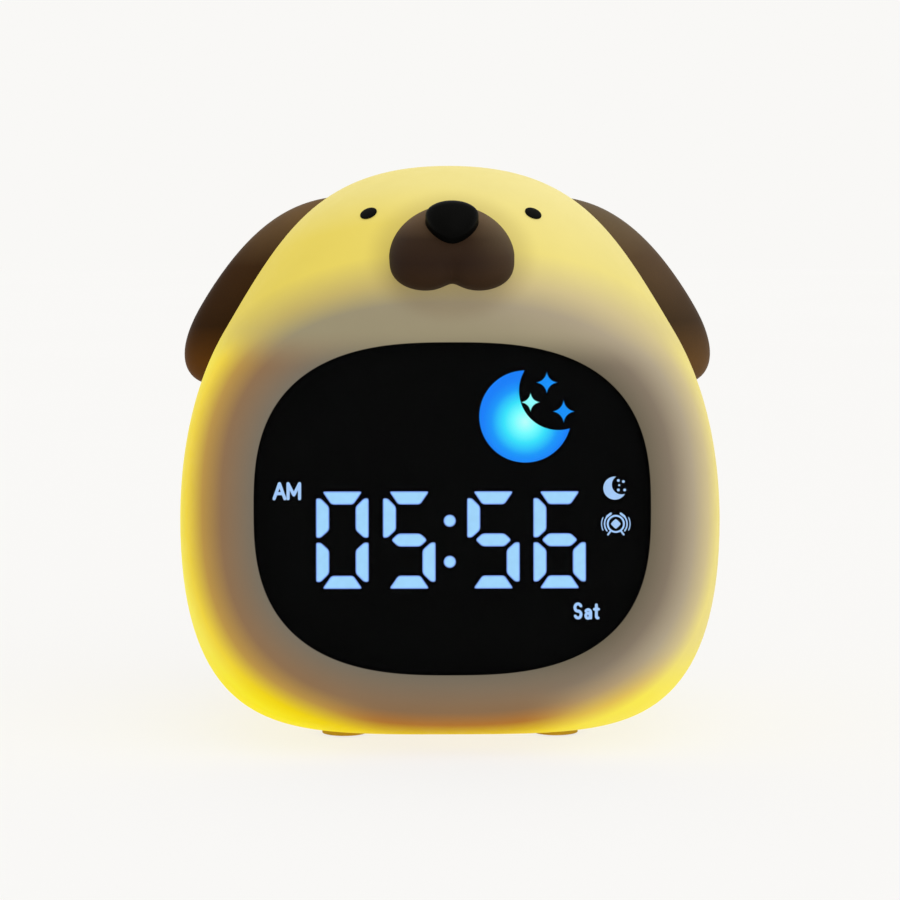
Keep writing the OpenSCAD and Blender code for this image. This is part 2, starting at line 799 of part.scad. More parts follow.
module battery_tray() {
  color(white) difference() {
    union() {
      translate([-23, 3.4, tray_z]) cube([46, 29.8, 6.4]);
      for (s = [-1, 1]) translate([s * 27, 18, tray_z]) {
        cylinder(d = 6, h = 1.6);
        translate([-s * 2.5 - 2.5, -3, 0]) cube([5, 6, 1.6]);
      }
    }
    translate([-21.7, 4.7, tray_z + 1.2]) cube([43.4, 27.2, 8]);
    for (x = [-12, 0, 12]) translate([x - 4, 9, tray_z - 1]) cube([8, 18, 4]);
    translate([14, 2, tray_z + 4]) cube([6, 4, 4]);
    for (s = [-1, 1]) translate([s * 27, 18, tray_z - 1]) cylinder(d = 2.4, h = 4);
  }
}

module tray_screws() {
  color(metal) for (s = [-1, 1]) translate([s * 27, 18, tray_z + 1.6]) screw(1.75, 5, 4, 1.4);
}

module battery_leads() {
  color([0.75, 0.08, 0.06]) for (k = [-0.8, 0.8])
    wire([[17 + k, 5.4, 14.4], [17 + k, 5.4, 17.4], [17.6 + k, 7.4, 20.6], [19.8 + k, 22.6, 31.4],
          [20.4 + k, 25.4, 32.6], [20.4 + k, 31, 32.6]], 1);
}

module speaker_leads() {
  color([0.10, 0.10, 0.10]) for (k = [-0.8, 0.8])
    wire([[4 + k, inner_y - 4.4, 61.5], [4 + k, 33.4, 61.5], [5.4 + k, 30.2, 59.6],
          [11 + k, 25.4, 44.6], [12.4 + k, 25, 41], [12.6 + k, 26.2, 39], [12.6 + k, 31, 39]], 0.9);
}

module display_ribbon() {
  // flat cable from the night light board to the main board
  path = [[-19.6, 38.5], [-15, 38], [-4, 29], [10, 24.5], [22, 28], [28.2, 34], [30.7, 34]];
  t = 0.4;
  side = function(i) let (a = path[max(i - 1, 0)], b = path[min(i + 1, 6)], d = unit(b - a))
    [-d[1], d[0]] * t / 2;
  color(white) translate([-21.5, 0, 0]) rotate([90, 0, 90]) linear_extrude(6)
    polygon(concat([for (i = [0:6]) path[i] + side(i)], [for (i = [6:-1:0]) path[i] - side(i)]));
}

module case_screws() {
  color(metal) four_case() translate([0, 6, 0]) rotate([-90, 0, 0]) screw(2.15, 16, 4.9, 1.9);
}

module rubber_feet() {
  color(black) for (r = [-1, 1]) foot_spots(r) difference() {
    cylinder(d = foot_d, h = base_z + 1.2);
    translate([0, 0, -0.5]) cylinder(d = foot_d - 5, h = 0.9);
  }
}

// ---- face and ears ---------------------------------------------------------

ear_rings = [0.3, 0.55, 0.75, 0.87, 0.95, 0.985, 1];
ear_base_rings = [0.4, 0.75, 1];
ear_steps = 30;

function ear_spot(rho, q) =
  let (c = sign(cos(q)) * pow(abs(cos(q)), 0.85), s = sign(sin(q)) * pow(abs(sin(q)), 0.85))
  let (z = 87.5 + rho * s * (s > 0 ? 18 : 20))
  let (k = (105.5 - z) / 38.3, w = 5 + 8.2 * pow(max(k, 0), 0.7))
  [13.6 + 1.2 * k + rho * c * w, z];

function ear_depth(z, rho) =
  let (k = min(max((105.5 - z) / 38.3, 0), 1))
  0.7 + ear_thick * pow(sin(180 * pow(k, 0.62) * 0.6), 0.9) * pow(max(1 - pow(rho, 6), 0), 0.5);

function ear_ring(rho, lift) =
  [for (i = [0:ear_steps - 1])
    let (p = ear_spot(rho, 360 * i / ear_steps))
    side_point(p[0], p[1], ear_gap + lift * ear_depth(p[1], rho))];

module ear() {
  c = ear_spot(0, 0);
  pad(side_point(c[0], c[1], ear_gap + ear_depth(c[1], 0)),
      [for (r = ear_rings) ear_ring(r, 1)],
      side_point(c[0], c[1], ear_gap),
      [for (r = ear_base_rings) ear_ring(r, 0)]);
  ear_axis(1, ear_stud) {
    translate([0, 0, -3.8]) cylinder(d = 5, h = 6);
    translate([0, 0, -5.2]) cylinder(d = 3.4, h = 2);
  }
  ear_axis(1, ear_pin) translate([0, 0, -2.4]) cylinder(d = 2.4, h = 4.4);
}

module ear_right() {
  color(brown) ear();
}

module ear_left() {
  color(brown) mirror([1, 0, 0]) ear();
}

module ear_lock_washers() {
  color(metal) for (s = [-1, 1]) ear_axis(s, ear_stud) translate([0, 0, -4.3])
    difference() {
      cylinder(d = 8.4, h = 0.5);
      translate([0, 0, -1]) cylinder(d = 3.4, h = 3);
      for (i = [0:5]) rotate([0, 0, 60 * i]) translate([1.5, -0.25, -1]) cube([1.5, 0.5, 3]);
    }
}

muzzle_rings = [0.3, 0.55, 0.74, 0.87, 0.95, 1];
muzzle_base_rings = [0.35, 0.7, 1];
muzzle_steps = 36;
muzzle_z = 95.5;

function muzzle_spot(rho, q) =
  let (c = cos(q), s = sin(q), up = s > 0)
  let (n = up ? 1.73 : 3.34, h = up ? 9.6 : 7.1)
  let (r = pow(pow(abs(c) / muzzle_half, n) + pow(abs(s) / h, n), -1 / n))
  let (cleft = up ? 0 : 1.3 * exp(-pow(c * 5.2, 2)))
  [rho * (r - cleft) * c, muzzle_z + rho * (r - cleft) * s];

function muzzle_depth(p, rho) =
  let (low = min(max((96.5 - p[1]) / 4, 0), 1))
  0.7 + (muzzle_proud - 0.7) * pow(max(1 - pow(rho, 4.5), 0), 0.5)
  * (1 - 0.14 * low * exp(-pow(p[0] / 1.7, 2)));

function muzzle_ring(rho, lift) =
  [for (i = [0:muzzle_steps - 1])
    let (p = muzzle_spot(rho, 360 * i / muzzle_steps))
    [p[0], -front_depth(p[0], p[1]) - 0.15 - lift * muzzle_depth(p, rho), p[1]]];

nose_base = -3;

module nose_frame() {
  translate([0, nose_y, nose_z]) rotate([90 - nose_tilt, 0, 0]) children();
}

function nose_spot(rho, q) =
  let (c = cos(q), s = sin(q), n = s > 0 ? 2 : 1.5, h = s > 0 ? 3.1 : 6)
  let (r = pow(pow(abs(c) / 4.8, n) + pow(abs(s) / h, n), -1 / n))
  [rho * r * c, rho * r * s];

function nose_ring(rho, z) = [for (i = [0:31]) let (p = nose_spot(rho, 360 * i / 32)) [p[0], p[1], z]];

module muzzle() {
  c = [0, muzzle_z];
  f = front_depth(0, muzzle_z) + 0.15;
  color(brown) difference() {
    union() {
      pad([0, -f - muzzle_depth(c, 0), muzzle_z], [for (r = muzzle_rings) muzzle_ring(r, 1)],
          [0, -f, muzzle_z], [for (r = muzzle_base_rings) muzzle_ring(r, 0)]);
      for (p = muzzle_pegs)
        rod(p[0], p[1], -front_depth(p[0], p[1]) - 3, -front_depth(p[0], p[1]) + 4.2, 3);
    }
    nose_frame() translate([0, 0, nose_base]) linear_extrude(12)
      polygon([for (p = nose_ring(1, 0)) [p[0], p[1]]]);
    rod(0, nose_z - 2, -50, -20, 2.5);
  }
}

module nose() {
  color(black) {
    nose_frame() pad([0, 0, 3],
        [nose_ring(0.35, 2.85), nose_ring(0.65, 2.4), nose_ring(0.85, 1.65),
         nose_ring(0.96, 0.75), nose_ring(1, -0.3)],
        [0, 0, nose_base], [nose_ring(1, nose_base)]);
    rod(0, nose_z - 2, nose_y + 1.2, -27.2, 2.4);
  }
}

module eye(s) {
  color(black) along(eye_point(s), eye_normal(s)) {
    translate([0, 0, -3.6]) cylinder(d = 1.6, h = 3.9);
    rotate_extrude($fn = 24) polygon([[0, 0.12], [1.7, 0.12], [1.7, 0.24], [1.5, 0.36], [1, 0.45],
                                      [0, 0.5]]);
  }
}

// ---- parts list ------------------------------------------------------------

front_shell();
rear_shell();
display_lens();
lens_adhesive();
display_mask();
reflector_block();
digit_guides();
picture_guides();
display_board();
display_leds();
board_header();
board_spacers();
night_light_board();
night_light_leds();
display_screws();
rear_panel();
panel_screws();
main_board();
board_screws();
main_chips();
wire_headers();
tap_sensor();
tact_switches();
button_cap(button_x[0]);  // mode_button
plunger(button_x[0]);  // mode_plunger
button_cap(button_x[1]);  // up_button
plunger(button_x[1]);  // up_plunger
button_cap(button_x[2]);  // down_button
plunger(button_x[2]);  // down_plunger
button_cap(button_x[3]);  // light_button
plunger(button_x[3]);  // light_plunger
button_cap(button_x[4]);  // sound_button
plunger(button_x[4]);  // sound_plunger
power_switch_body();
power_switch_knob();
usb_shell();
usb_tongue();
speaker_frame();
speaker_magnet();
speaker_cone();
speaker_clamp();
speaker_screws();
battery_cell();
battery_tray();
tray_screws();
battery_leads();
speaker_leads();
display_ribbon();
case_screws();
rubber_feet();
ear_left();
ear_right();
ear_lock_washers();
muzzle();
nose();
eye(-1);  // eye_left
eye(1);  // eye_right
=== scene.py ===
import math

import bmesh
import bpy
import numpy as np
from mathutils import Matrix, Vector


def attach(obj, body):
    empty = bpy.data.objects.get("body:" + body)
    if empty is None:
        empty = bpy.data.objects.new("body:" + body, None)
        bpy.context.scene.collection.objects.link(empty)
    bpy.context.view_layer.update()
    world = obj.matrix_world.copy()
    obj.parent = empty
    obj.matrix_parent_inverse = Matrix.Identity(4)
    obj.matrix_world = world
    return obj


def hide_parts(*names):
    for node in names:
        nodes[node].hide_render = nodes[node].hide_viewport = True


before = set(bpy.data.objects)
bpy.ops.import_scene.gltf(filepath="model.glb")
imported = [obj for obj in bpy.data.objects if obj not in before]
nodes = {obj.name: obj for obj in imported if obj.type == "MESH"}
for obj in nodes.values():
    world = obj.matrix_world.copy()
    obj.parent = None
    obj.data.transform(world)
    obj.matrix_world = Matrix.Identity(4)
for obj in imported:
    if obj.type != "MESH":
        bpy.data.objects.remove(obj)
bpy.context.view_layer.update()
MM = 0.001
FRONT, REAR = -1, 1

# ---- the housing's curves, in mm -----------------------------------------------
# They follow the part's source, but BASE is 0.5 above the solids' underside, where the photo's
# bottom line is, and REAR_LIMIT is 0.15 less, which keeps the rear face inside the solids.
TALL, HALF, WAIST, BASE, WALL = 112.5, 53.7, 42.3, 1.7, 2.4
FACE_Y, LENS_Z, TILT = 42.1, 47.6, math.radians(5)
LENS_A, LENS_B, LENS_N = 37.6, 31.5, 2.72
# Plan section: its exponent, the limit of its depth and how sharply it bends at the limit.
# The front goes from FRONT_N below the waist to CROWN_N at the top, and its limit leans back
# with the window from FRONT_LIMIT at LIMIT_Z.
FRONT_N, CROWN_N, FRONT_LIMIT, LIMIT_Z, FRONT_SHARP = 3.4, 2.0, 42.5, 46, 18
REAR_N, REAR_FLAT, REAR_LIMIT, REAR_SHARP = 2.8, 0.95, 44.65, 14
CURVES = np.array([
    [[22.5, BASE], [HALF - 17.7, BASE], [HALF, 4], [HALF, WAIST]],
    [[HALF, WAIST], [HALF, 64.7], [HALF - 6.8, 76.4], [HALF - 8.9, 80]],
    [[HALF - 8.9, 80], [HALF - 20.3, 99.55], [25.8, TALL], [0, TALL]],
])


def profile(v):
    """Half width and height along the outline, v from 0 at the underside to 3 at the crown."""
    v = np.asarray(v, float)
    k = np.clip(v.astype(int), 0, 2)
    t = (v - k)[..., None]
    p = CURVES[k]
    return (
        (1 - t) ** 3 * p[..., 0, :]
        + 3 * (1 - t) ** 2 * t * p[..., 1, :]
        + 3 * (1 - t) * t * t * p[..., 2, :]
        + t**3 * p[..., 3, :]
    )


OUTLINE = profile(np.linspace(0, 3, 4001))


def half_at(z):
    return np.interp(z, OUTLINE[:, 1], OUTLINE[:, 0])


def soft(y, limit, k):
    """y, bent smoothly so that it never passes the limit."""
    return y * (1 + np.abs(y / limit) ** k) ** (-1 / k)


def section(side, a, z):
    """Exponent, half depth, limit and sharpness of the plan section with half width a."""
    if side == FRONT:
        n = FRONT_N - (FRONT_N - CROWN_N) * np.clip((z - WAIST) / (TALL - WAIST), 0, None) ** 1.5
        return n, a, FRONT_LIMIT - (z - LIMIT_Z) * math.tan(TILT), FRONT_SHARP
    return REAR_N, REAR_FLAT * a, REAR_LIMIT, REAR_SHARP


def shell_point(side, v, u):
    """Point of the outer skin, u from 0 at x > 0 to pi at x < 0."""
    p = profile(v)
    a, z = np.maximum(p[..., 0], 1e-4), p[..., 1]
    n, b, limit, k = section(side, a, z)
    c, s = np.cos(u), np.sin(u)
    r = ((np.abs(c) / a) ** n + (np.abs(s) / b) ** n) ** (-1 / n)
    return np.stack([r * c, side * soft(r * s, limit, k), z + 0 * r], -1)


def depth_at(side, x, z):
    """How far the outer skin is from the joint plane."""
    a = half_at(z)
    n, b, limit, k = section(side, a, z)
    return soft(b * np.maximum(1 - (np.abs(x) / a) ** n, 1e-5) ** (1 / n), limit, k)


def unit(a):
    return a / np.maximum(np.linalg.norm(a, axis=-1, keepdims=True), 1e-12)


def inward(side, v, u):
    """Normal of the outer skin, into the housing."""
    e, g = 0.002, math.radians(0.2)
    va, vb = np.maximum(v - e, 0), np.minimum(v + e, 2.999)
    ua, ub = np.maximum(u - g, 0), np.minimum(u + g, math.pi)
    dv = shell_point(side, vb, u) - shell_point(side, va, u)
    du = shell_point(side, v, ub) - shell_point(side, v, ua)
    return unit(side * np.cross(dv, du))


def side_reach(y, z):
    """Half width of the rear half's section at depth y."""
    a = half_at(z)
    return a * np.maximum(1 - (np.abs(y) / (REAR_FLAT * a)) ** REAR_N, 0.001) ** (1 / REAR_N)


def side_point(y, z, h):
    """Point at height h above the side of the housing."""
    e = 0.05
    slope_y = (side_reach(y + e, z) - side_reach(y - e, z)) / (2 * e)
    slope_z = (side_reach(y, z + e) - side_reach(y, z - e)) / (2 * e)
    n = unit(np.stack([np.ones_like(y), -slope_y, -slope_z], -1))
    return np.stack([side_reach(y, z), y, z], -1) + np.asarray(h)[..., None] * n


# ---- outlines and where they are placed ------------------------------------------
def around(count):
    return np.linspace(0, 2 * math.pi, count, endpoint=False)


def oval(a, b, n, count):
    """Super-ellipse."""
    c, s = np.cos(around(count)), np.sin(around(count))
    return np.stack([a * np.sign(c) * np.abs(c) ** (2 / n),
                     b * np.sign(s) * np.abs(s) ** (2 / n)], -1)


def window(grow, count=200):
    """The window's outline, grown by some mm."""
    return oval(LENS_A + grow, LENS_B + grow, LENS_N, count)


def on_face(x, y, z):
    """Window coordinates (right, up, out) to the row frame, all in mm."""
    s, c = math.sin(TILT), math.cos(TILT)
    x, y, z = np.broadcast_arrays(np.asarray(x, float), y, z)
    return np.stack([x, -FACE_Y + y * s - z * c, LENS_Z + y * c + z * s], -1)


def on_back(x, z, y):
    return np.stack([x, 0 * x + y, z], -1)


def ring_at(outline, level, place=on_face):
    pts = np.asarray(outline)
    return place(pts[:, 0], pts[:, 1], level)


def circle_y(x, z, r, y, count=40):
    """Circle about a line along y."""
    t = around(count)
    return np.stack([x + r * np.cos(t), 0 * t + y, z + r * np.sin(t)], -1)


def circle_z(x, y, r, z, count=48):
    """Circle about a line along z."""
    t = around(count)
    return np.stack([x + r * np.cos(t), y + r * np.sin(t), 0 * t + z], -1)


# ---- mesh helpers ------------------------------------------------------------
def smooth(ob, angle):
    ob.data.polygons.foreach_set("use_smooth", [True] * len(ob.data.polygons))
    ob.data.set_sharp_from_angle(angle=math.radians(angle))


def make(name, verts, faces, mat, body="housing", angle=38, slot=None):
    me = bpy.data.meshes.new(name)
    points = [tuple(p) for p in np.asarray(verts) * MM]
    me.from_pydata(points, [], [tuple(int(i) for i in f) for f in faces])
    bm = bmesh.new()
    bm.from_mesh(me)
    bmesh.ops.recalc_face_normals(bm, faces=bm.faces)
    bm.to_mesh(me)
    bm.free()
    ob = bpy.data.objects.new(name, me)
    bpy.context.scene.collection.objects.link(ob)
    if mat is not None:
        me.materials.append(mat)
    smooth(ob, angle)
    if body:
        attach(ob, body)
    return ob


def rings_mesh(rings, capped=True):
    """Faces of a stack of closed rings with equal point counts."""
    m, verts, faces = len(rings[0]), np.concatenate(rings), []
    for j in range(len(rings) - 1):
        for i in range(m):
            k = (i + 1) % m
            faces.append((j * m + i, j * m + k, (j + 1) * m + k, (j + 1) * m + i))
    if capped:
        faces.append(tuple(range(m)))
        faces.append(tuple((len(rings) - 1) * m + i for i in range(m)))
    return verts, faces


def loop_mesh(rings):
    """The same, with the last ring joined to the first."""
    verts, faces = rings_mesh(rings, capped=False)
    m = len(rings[0])
    last = (len(rings) - 1) * m
    return verts, faces + [(last + i, last + (i + 1) % m, (i + 1) % m, i) for i in range(m)]


def plate(outline, low, high, place=on_face):
    return rings_mesh([ring_at(outline, low, place), ring_at(outline, high, place)])


def joined(parts):
    """Several meshes as one."""
    verts, faces, at = [], [], 0
    for v, f in parts:
        verts.append(np.asarray(v))
        faces += [tuple(i + at for i in g) for g in f]
        at += len(v)
    return np.concatenate(verts), faces


def cutter(verts, faces):
    return make("cutter", verts, faces, None, body=None)


def cut(ob, cutters, angle=38):
    """Take the cutters out of the object, for good."""
    for c in cutters:
        m = ob.modifiers.new("cut", "BOOLEAN")
        m.object, m.operation, m.solver = c, "DIFFERENCE", "EXACT"
    deps = bpy.context.evaluated_depsgraph_get()
    me = bpy.data.meshes.new_from_object(ob.evaluated_get(deps))
    ob.modifiers.clear()
    old = ob.data
    ob.data = me
    bpy.data.meshes.remove(old)
    smooth(ob, angle)
    for c in cutters:
        bpy.data.objects.remove(c)


# ---- materials ---------------------------------------------------------------
def lin(r, g, b):
    """Linear colour from screen values 0..255."""
    f = lambda c: c / 12.92 if c <= 0.04045 else ((c + 0.055) / 1.055) ** 2.4
    return (f(r / 255), f(g / 255), f(b / 255), 1)


def grey(v):
    return lin(v, v, v)


def shade(c, k):
    return (min(c[0] * k, 1), min(c[1] * k, 1), min(c[2] * k, 1), 1)


class Nodes:
    """A material's node tree; values are numbers, colours or sockets."""

    def __init__(self, name):
        self.mat = bpy.data.materials.new(name)
        self.mat.use_nodes = True
        self.t = self.mat.node_tree
        self.bsdf = self.t.nodes["Principled BSDF"]
        self.out = self.t.nodes["Material Output"]
        self.coord = self.add("ShaderNodeTexCoord").outputs["Object"]

    def add(self, kind, **props):
        n = self.t.nodes.new(kind)
        for k, v in props.items():
            setattr(n, k, v)
        return n

    def put(self, socket, value):
        if hasattr(value, "is_output"):
            self.t.links.new(value, socket)
        else:
            socket.default_value = value

    def feed(self, name, value):
        """Set an input of the surface shader."""
        self.put(self.bsdf.inputs[name], value)

    def math(self, op, a, b=0.0, c=0.0, clamp=False):
        n = self.add("ShaderNodeMath", operation=op, use_clamp=clamp)
        for s, v in zip(n.inputs, (a, b, c)):
            self.put(s, v)
        return n.outputs[0]

    def hypot(self, a, b):
        squares = self.math("ADD", self.math("MULTIPLY", a, a), self.math("MULTIPLY", b, b))
        return self.math("SQRT", squares)

    def oval(self, x, a, y, b, power):
        """|x / a| ** power + |y / b| ** power, which is 1 on the super-ellipse."""
        px, py = [self.math("POWER", self.math("DIVIDE", self.math("ABSOLUTE", v), half), power)
                  for v, half in ((x, a), (y, b))]
        return self.math("ADD", px, py)

    def step(self, value, lo, hi, a=0.0, b=1.0):
        """Smooth step from a at lo to b at hi."""
        n = self.add("ShaderNodeMapRange", interpolation_type="SMOOTHSTEP")
        for s, v in zip(n.inputs, (value, lo, hi, a, b)):
            self.put(s, v)
        return n.outputs[0]

    def ramp(self, value, stops):
        n = self.add("ShaderNodeValToRGB")
        e = n.color_ramp.elements
        while len(e) < len(stops):
            e.new(0.5)
        for el, (p, c) in zip(e, stops):
            el.position, el.color = p, c
        self.put(n.inputs[0], value)
        return n.outputs[0]

    def mix(self, f, a, b, kind="MIX"):
        n = self.add("ShaderNodeMix", data_type="RGBA", blend_type=kind)
        self.put(n.inputs[0], f)
        self.put(n.inputs[6], a)
        self.put(n.inputs[7], b)
        return n.outputs[2]

    def noise(self, scale, detail=4.0, rough=0.55, stretch=None):
        n = self.add("ShaderNodeTexNoise")
        src = self.coord
        if stretch:
            m = self.add("ShaderNodeMapping")
            self.t.links.new(src, m.inputs[0])
            m.inputs["Scale"].default_value = stretch
            src = m.outputs[0]
        self.t.links.new(src, n.inputs["Vector"])
        n.inputs["Scale"].default_value = scale
        n.inputs["Detail"].default_value = detail
        n.inputs["Roughness"].default_value = rough
        return n.outputs["Fac"]

    def bump(self, height, strength, distance=0.0002):
        n = self.add("ShaderNodeBump")
        n.inputs["Strength"].default_value = strength
        n.inputs["Distance"].default_value = distance
        self.put(n.inputs["Height"], height)
        self.feed("Normal", n.outputs[0])

    def xyz(self):
        """Position in millimetres."""
        n = self.add("ShaderNodeVectorMath", operation="SCALE")
        self.t.links.new(self.coord, n.inputs[0])
        n.inputs["Scale"].default_value = 1 / MM
        s = self.add("ShaderNodeSeparateXYZ")
        self.t.links.new(n.outputs[0], s.inputs[0])
        return s.outputs[0:3]


def surface(name, colour, rough=0.45, spread=0.08, scale=260, grain=2400, bump=0.12,
            metallic=0.0, spec=0.5, stretch=None):
    """Moulded or machined finish: slight mottling, uneven gloss and a fine grain."""
    n = Nodes(name)
    mottle = n.noise(scale, 5, 0.6, stretch)
    tones = [(0.3, shade(colour, 1 - spread)), (0.7, shade(colour, 1 + spread))]
    n.feed("Base Color", n.ramp(mottle, tones))
    n.feed("Roughness", n.step(mottle, 0.25, 0.75, rough * 0.88, min(rough * 1.12, 1)))
    n.feed("Metallic", metallic)
    n.feed("Specular IOR Level", spec)
    n.bump(n.noise(grain, 3, 0.6, stretch), bump)
    return n.mat


GLYPH_GLOW = 1.38


def behind_glass(n, tone):
    """Light as strong as the tone once the smoked window has taken its third."""
    n.feed("Base Color", n.mix(1.0, tone, grey(148), "MULTIPLY"))
    n.feed("Emission Color", tone)
    n.feed("Emission Strength", GLYPH_GLOW)
    n.feed("Specular IOR Level", 0.02)
    return n.mat


def glowing(name, colour):
    """Lit light guide: even glow with a faint mottle."""
    n = Nodes(name)
    n.feed("Roughness", 0.4)
    tones = [(0.3, shade(colour, 0.96)), (0.7, shade(colour, 1.02))]
    return behind_glass(n, n.ramp(n.noise(900, 3), tones))


MOON_X, MOON_Z, MOON_R = 13.9, LENS_Z + 16.3, 10.0
MOON_STOPS = [(0, 185, 254, 252), (2.3, 114, 252, 254), (4, 58, 226, 251), (6.4, 30, 152, 250),
              (8, 28, 128, 248)]


def moon_fill():
    """Blue glow, pale around the lamp behind it."""
    n = Nodes("moon_glow")
    x, y, z = n.xyz()
    d = n.hypot(n.math("SUBTRACT", x, MOON_X), n.math("SUBTRACT", z, MOON_Z))
    stops = [(at / MOON_R, lin(*tone)) for at, *tone in MOON_STOPS]
    return behind_glass(n, n.ramp(n.math("DIVIDE", d, MOON_R), stops))


# Tones of the lit plastic, from the shade of the display stack to the glow of the rim
TONES = {
    "dusk": (107, 98, 81), "ash": (119, 111, 97), "taupe": (131, 118, 101),
    "stone": (152, 142, 114), "umber": (142, 112, 81), "rust": (181, 122, 52),
    "amber": (187, 148, 74), "tan": (178, 150, 106), "sand": (173, 159, 134),
    "khaki": (195, 175, 103), "wheat": (206, 189, 141), "honey": (228, 194, 86),
    "corn": (231, 210, 95), "straw": (236, 220, 132), "cream": (241, 227, 151),
    "gold": (244, 216, 62), "lemon": (251, 236, 84), "deep": (245, 218, 16),
    "sun": (254, 238, 30),
}
# Millimetres outward from the window's edge at which each zone of the housing reaches a tone; the
# paler right-hand zones are painted light from the right
ZONES = {
    "left": [(0, "ash"), (6.2, "umber"), (10, "amber"), (13.5, "gold"), (16, "lemon")],
    "right": [(0, "dusk"), (4.2, "taupe"), (8.4, "sand"), (11.6, "wheat"), (14.3, "straw")],
    "low_left": [(0, "ash"), (6.5, "umber"), (9.6, "amber"), (13.2, "deep"), (16.2, "sun")],
    "low_right": [(0, "ash"), (4.8, "taupe"), (8.5, "tan"), (11.8, "honey"), (14.5, "lemon")],
    "bottom": [(0, "ash"), (7.4, "umber"), (10.3, "rust"), (14, "deep")],
    "top_left": [(0, "stone"), (7.5, "stone"), (11.5, "khaki"), (17, "corn"), (23, "corn"),
                 (30, "straw")],
    "top_right": [(0, "stone"), (7, "sand"), (11.5, "wheat"), (18, "straw"), (30, "cream")],
}
GLOW_REACH, GLOW_POWER = 30, 0.56
PANEL_Z, PANEL_A, PANEL_B = 45.0, 32.1, 27.1
MUZZLE_Z, MUZZLE_HALF, MUZZLE_UP, MUZZLE_DOWN, MUZZLE_CLEFT = 95.0, 11.95, 9.89, 6.81, 1.86


def milky():
    """Housing plastic lit from inside: its glow and the shade in it are painted into its colour
    and emission, and its right side is painted paler, as if lit from the right.
    """
    n = Nodes("milky_glow")
    x, y, z = n.xyz()
    up = n.math("SUBTRACT", z, LENS_Z)
    # distance outward from the window's edge, on the ray from its centre
    rho = n.math("MAXIMUM", n.oval(x, LENS_A, up, LENS_B, LENS_N), 0.01)
    rho = n.math("POWER", rho, 1 / LENS_N)
    d = n.math("SUBTRACT", 1.0, n.math("DIVIDE", 1.0, rho))
    d = n.math("MULTIPLY", n.hypot(x, up), d)
    t = n.math("DIVIDE", d, GLOW_REACH, clamp=True)
    tone = {zone: n.ramp(t, [(at / GLOW_REACH, lin(*TONES[name])) for at, name in stops])
            for zone, stops in ZONES.items()}
    # weight of the right-hand tones, which are painted paler, as if lit from the right
    right = n.step(x, -30, 34)
    low = n.mix(right, tone["low_left"], tone["low_right"])
    centre = n.step(n.math("ABSOLUTE", x), 12, 28, 1, 0)
    low = n.mix(centre, low, tone["bottom"])
    # the zones melt into each other away from the window
    far = n.step(d, 14, 26)
    w = n.step(z, n.math("MULTIPLY_ADD", far, 12, 22), n.math("MULTIPLY_ADD", far, -6, 9))
    body = n.mix(w, n.mix(right, tone["left"], tone["right"]), low)
    w = n.step(up, n.math("MULTIPLY_ADD", far, -18, 26), n.math("MULTIPLY_ADD", far, 10, 34))
    body = n.mix(w, body, n.mix(right, tone["top_left"], tone["top_right"]))
    # behind the joint the glow is even, deeper near the table
    near_table = n.mix(right, lin(250, 230, 70), lin(250, 234, 92))
    above = n.mix(right, lin(243, 228, 128), lin(243, 231, 146))
    even = n.mix(n.step(z, 4, 70), near_table, above)
    body = n.mix(n.math("MULTIPLY", n.step(y, -9, 16), 0.9), body, even)
    # shade around the muzzle
    over = n.math("SUBTRACT", z, MUZZLE_Z)
    m = n.hypot(n.math("DIVIDE", x, 14.5), n.math("DIVIDE", over, 11.0))
    m = n.math("MULTIPLY", n.step(m, 0.86, 1.2, 1, 0), n.step(y, -5, -20))
    body = n.mix(n.math("MULTIPLY", m, 0.22), body, lin(128, 104, 70))
    # shade of the board behind the rear panel
    q = n.oval(x, 34.5, n.math("SUBTRACT", z, PANEL_Z), 29.5, 3.0)
    q = n.math("MULTIPLY", n.step(q, 0.8, 1.9, 1, 0), n.step(y, 5, 30))
    body = n.mix(n.math("MULTIPLY", q, 0.75), body, lin(196, 176, 128))
    mottle = n.ramp(n.noise(55, 3, 0.5), [(0.3, grey(250)), (0.7, grey(255))])
    body = n.mix(1.0, body, mottle, "MULTIPLY")
    # what it emits and what it reflects add up to the tone
    n.feed("Emission Color", body)
    n.feed("Emission Strength", GLOW_POWER)
    n.feed("Base Color", n.mix(1.0, body, grey(188), "MULTIPLY"))
    n.feed("Roughness", n.step(n.noise(400, 4), 0.3, 0.7, 0.5, 0.62))
    n.feed("Specular IOR Level", 0.03)
    n.bump(n.noise(1800, 2, 0.5), 0.06)
    return n.mat


def silicone(name, left, right, span, across):
    """Matt soft rubber, toned by height on the left and on the right: the tones are painted light
    and shade, and a faint painted glow is added.
    """
    n = Nodes(name)
    x, y, z = n.xyz()
    low, high = span
    t = n.math("DIVIDE", n.math("SUBTRACT", z, low), high - low, clamp=True)
    side = lambda stops: n.ramp(t, [((at - low) / (high - low), lin(*c)) for at, *c in stops])
    tone = n.mix(n.step(x, *across), side(left), side(right))
    f = n.noise(120, 4, 0.55)
    mottle = n.ramp(f, [(0.25, grey(228)), (0.75, grey(247))])
    n.feed("Base Color", n.mix(1.0, tone, mottle, "MULTIPLY"))
    # faint painted glow
    n.feed("Emission Color", tone)
    n.feed("Emission Strength", 0.12)
    n.feed("Roughness", n.step(f, 0.2, 0.8, 0.62, 0.75))
    n.feed("Specular IOR Level", 0.06)
    n.feed("Sheen Weight", 0.02)
    n.bump(n.noise(2600, 3, 0.6), 0.14)
    return n.mat


def smoked():
    """Dark glass, clear enough for what is lit behind it."""
    n = Nodes("smoked_window")
    f = n.noise(160, 3)
    n.feed("Base Color", n.ramp(f, [(0.3, grey(8)), (0.7, grey(12))]))
    n.feed("Roughness", n.step(f, 0.3, 0.7, 0.10, 0.16))
    n.feed("Alpha", 0.2)
    n.feed("Specular IOR Level", 0.015)
    return n.mat


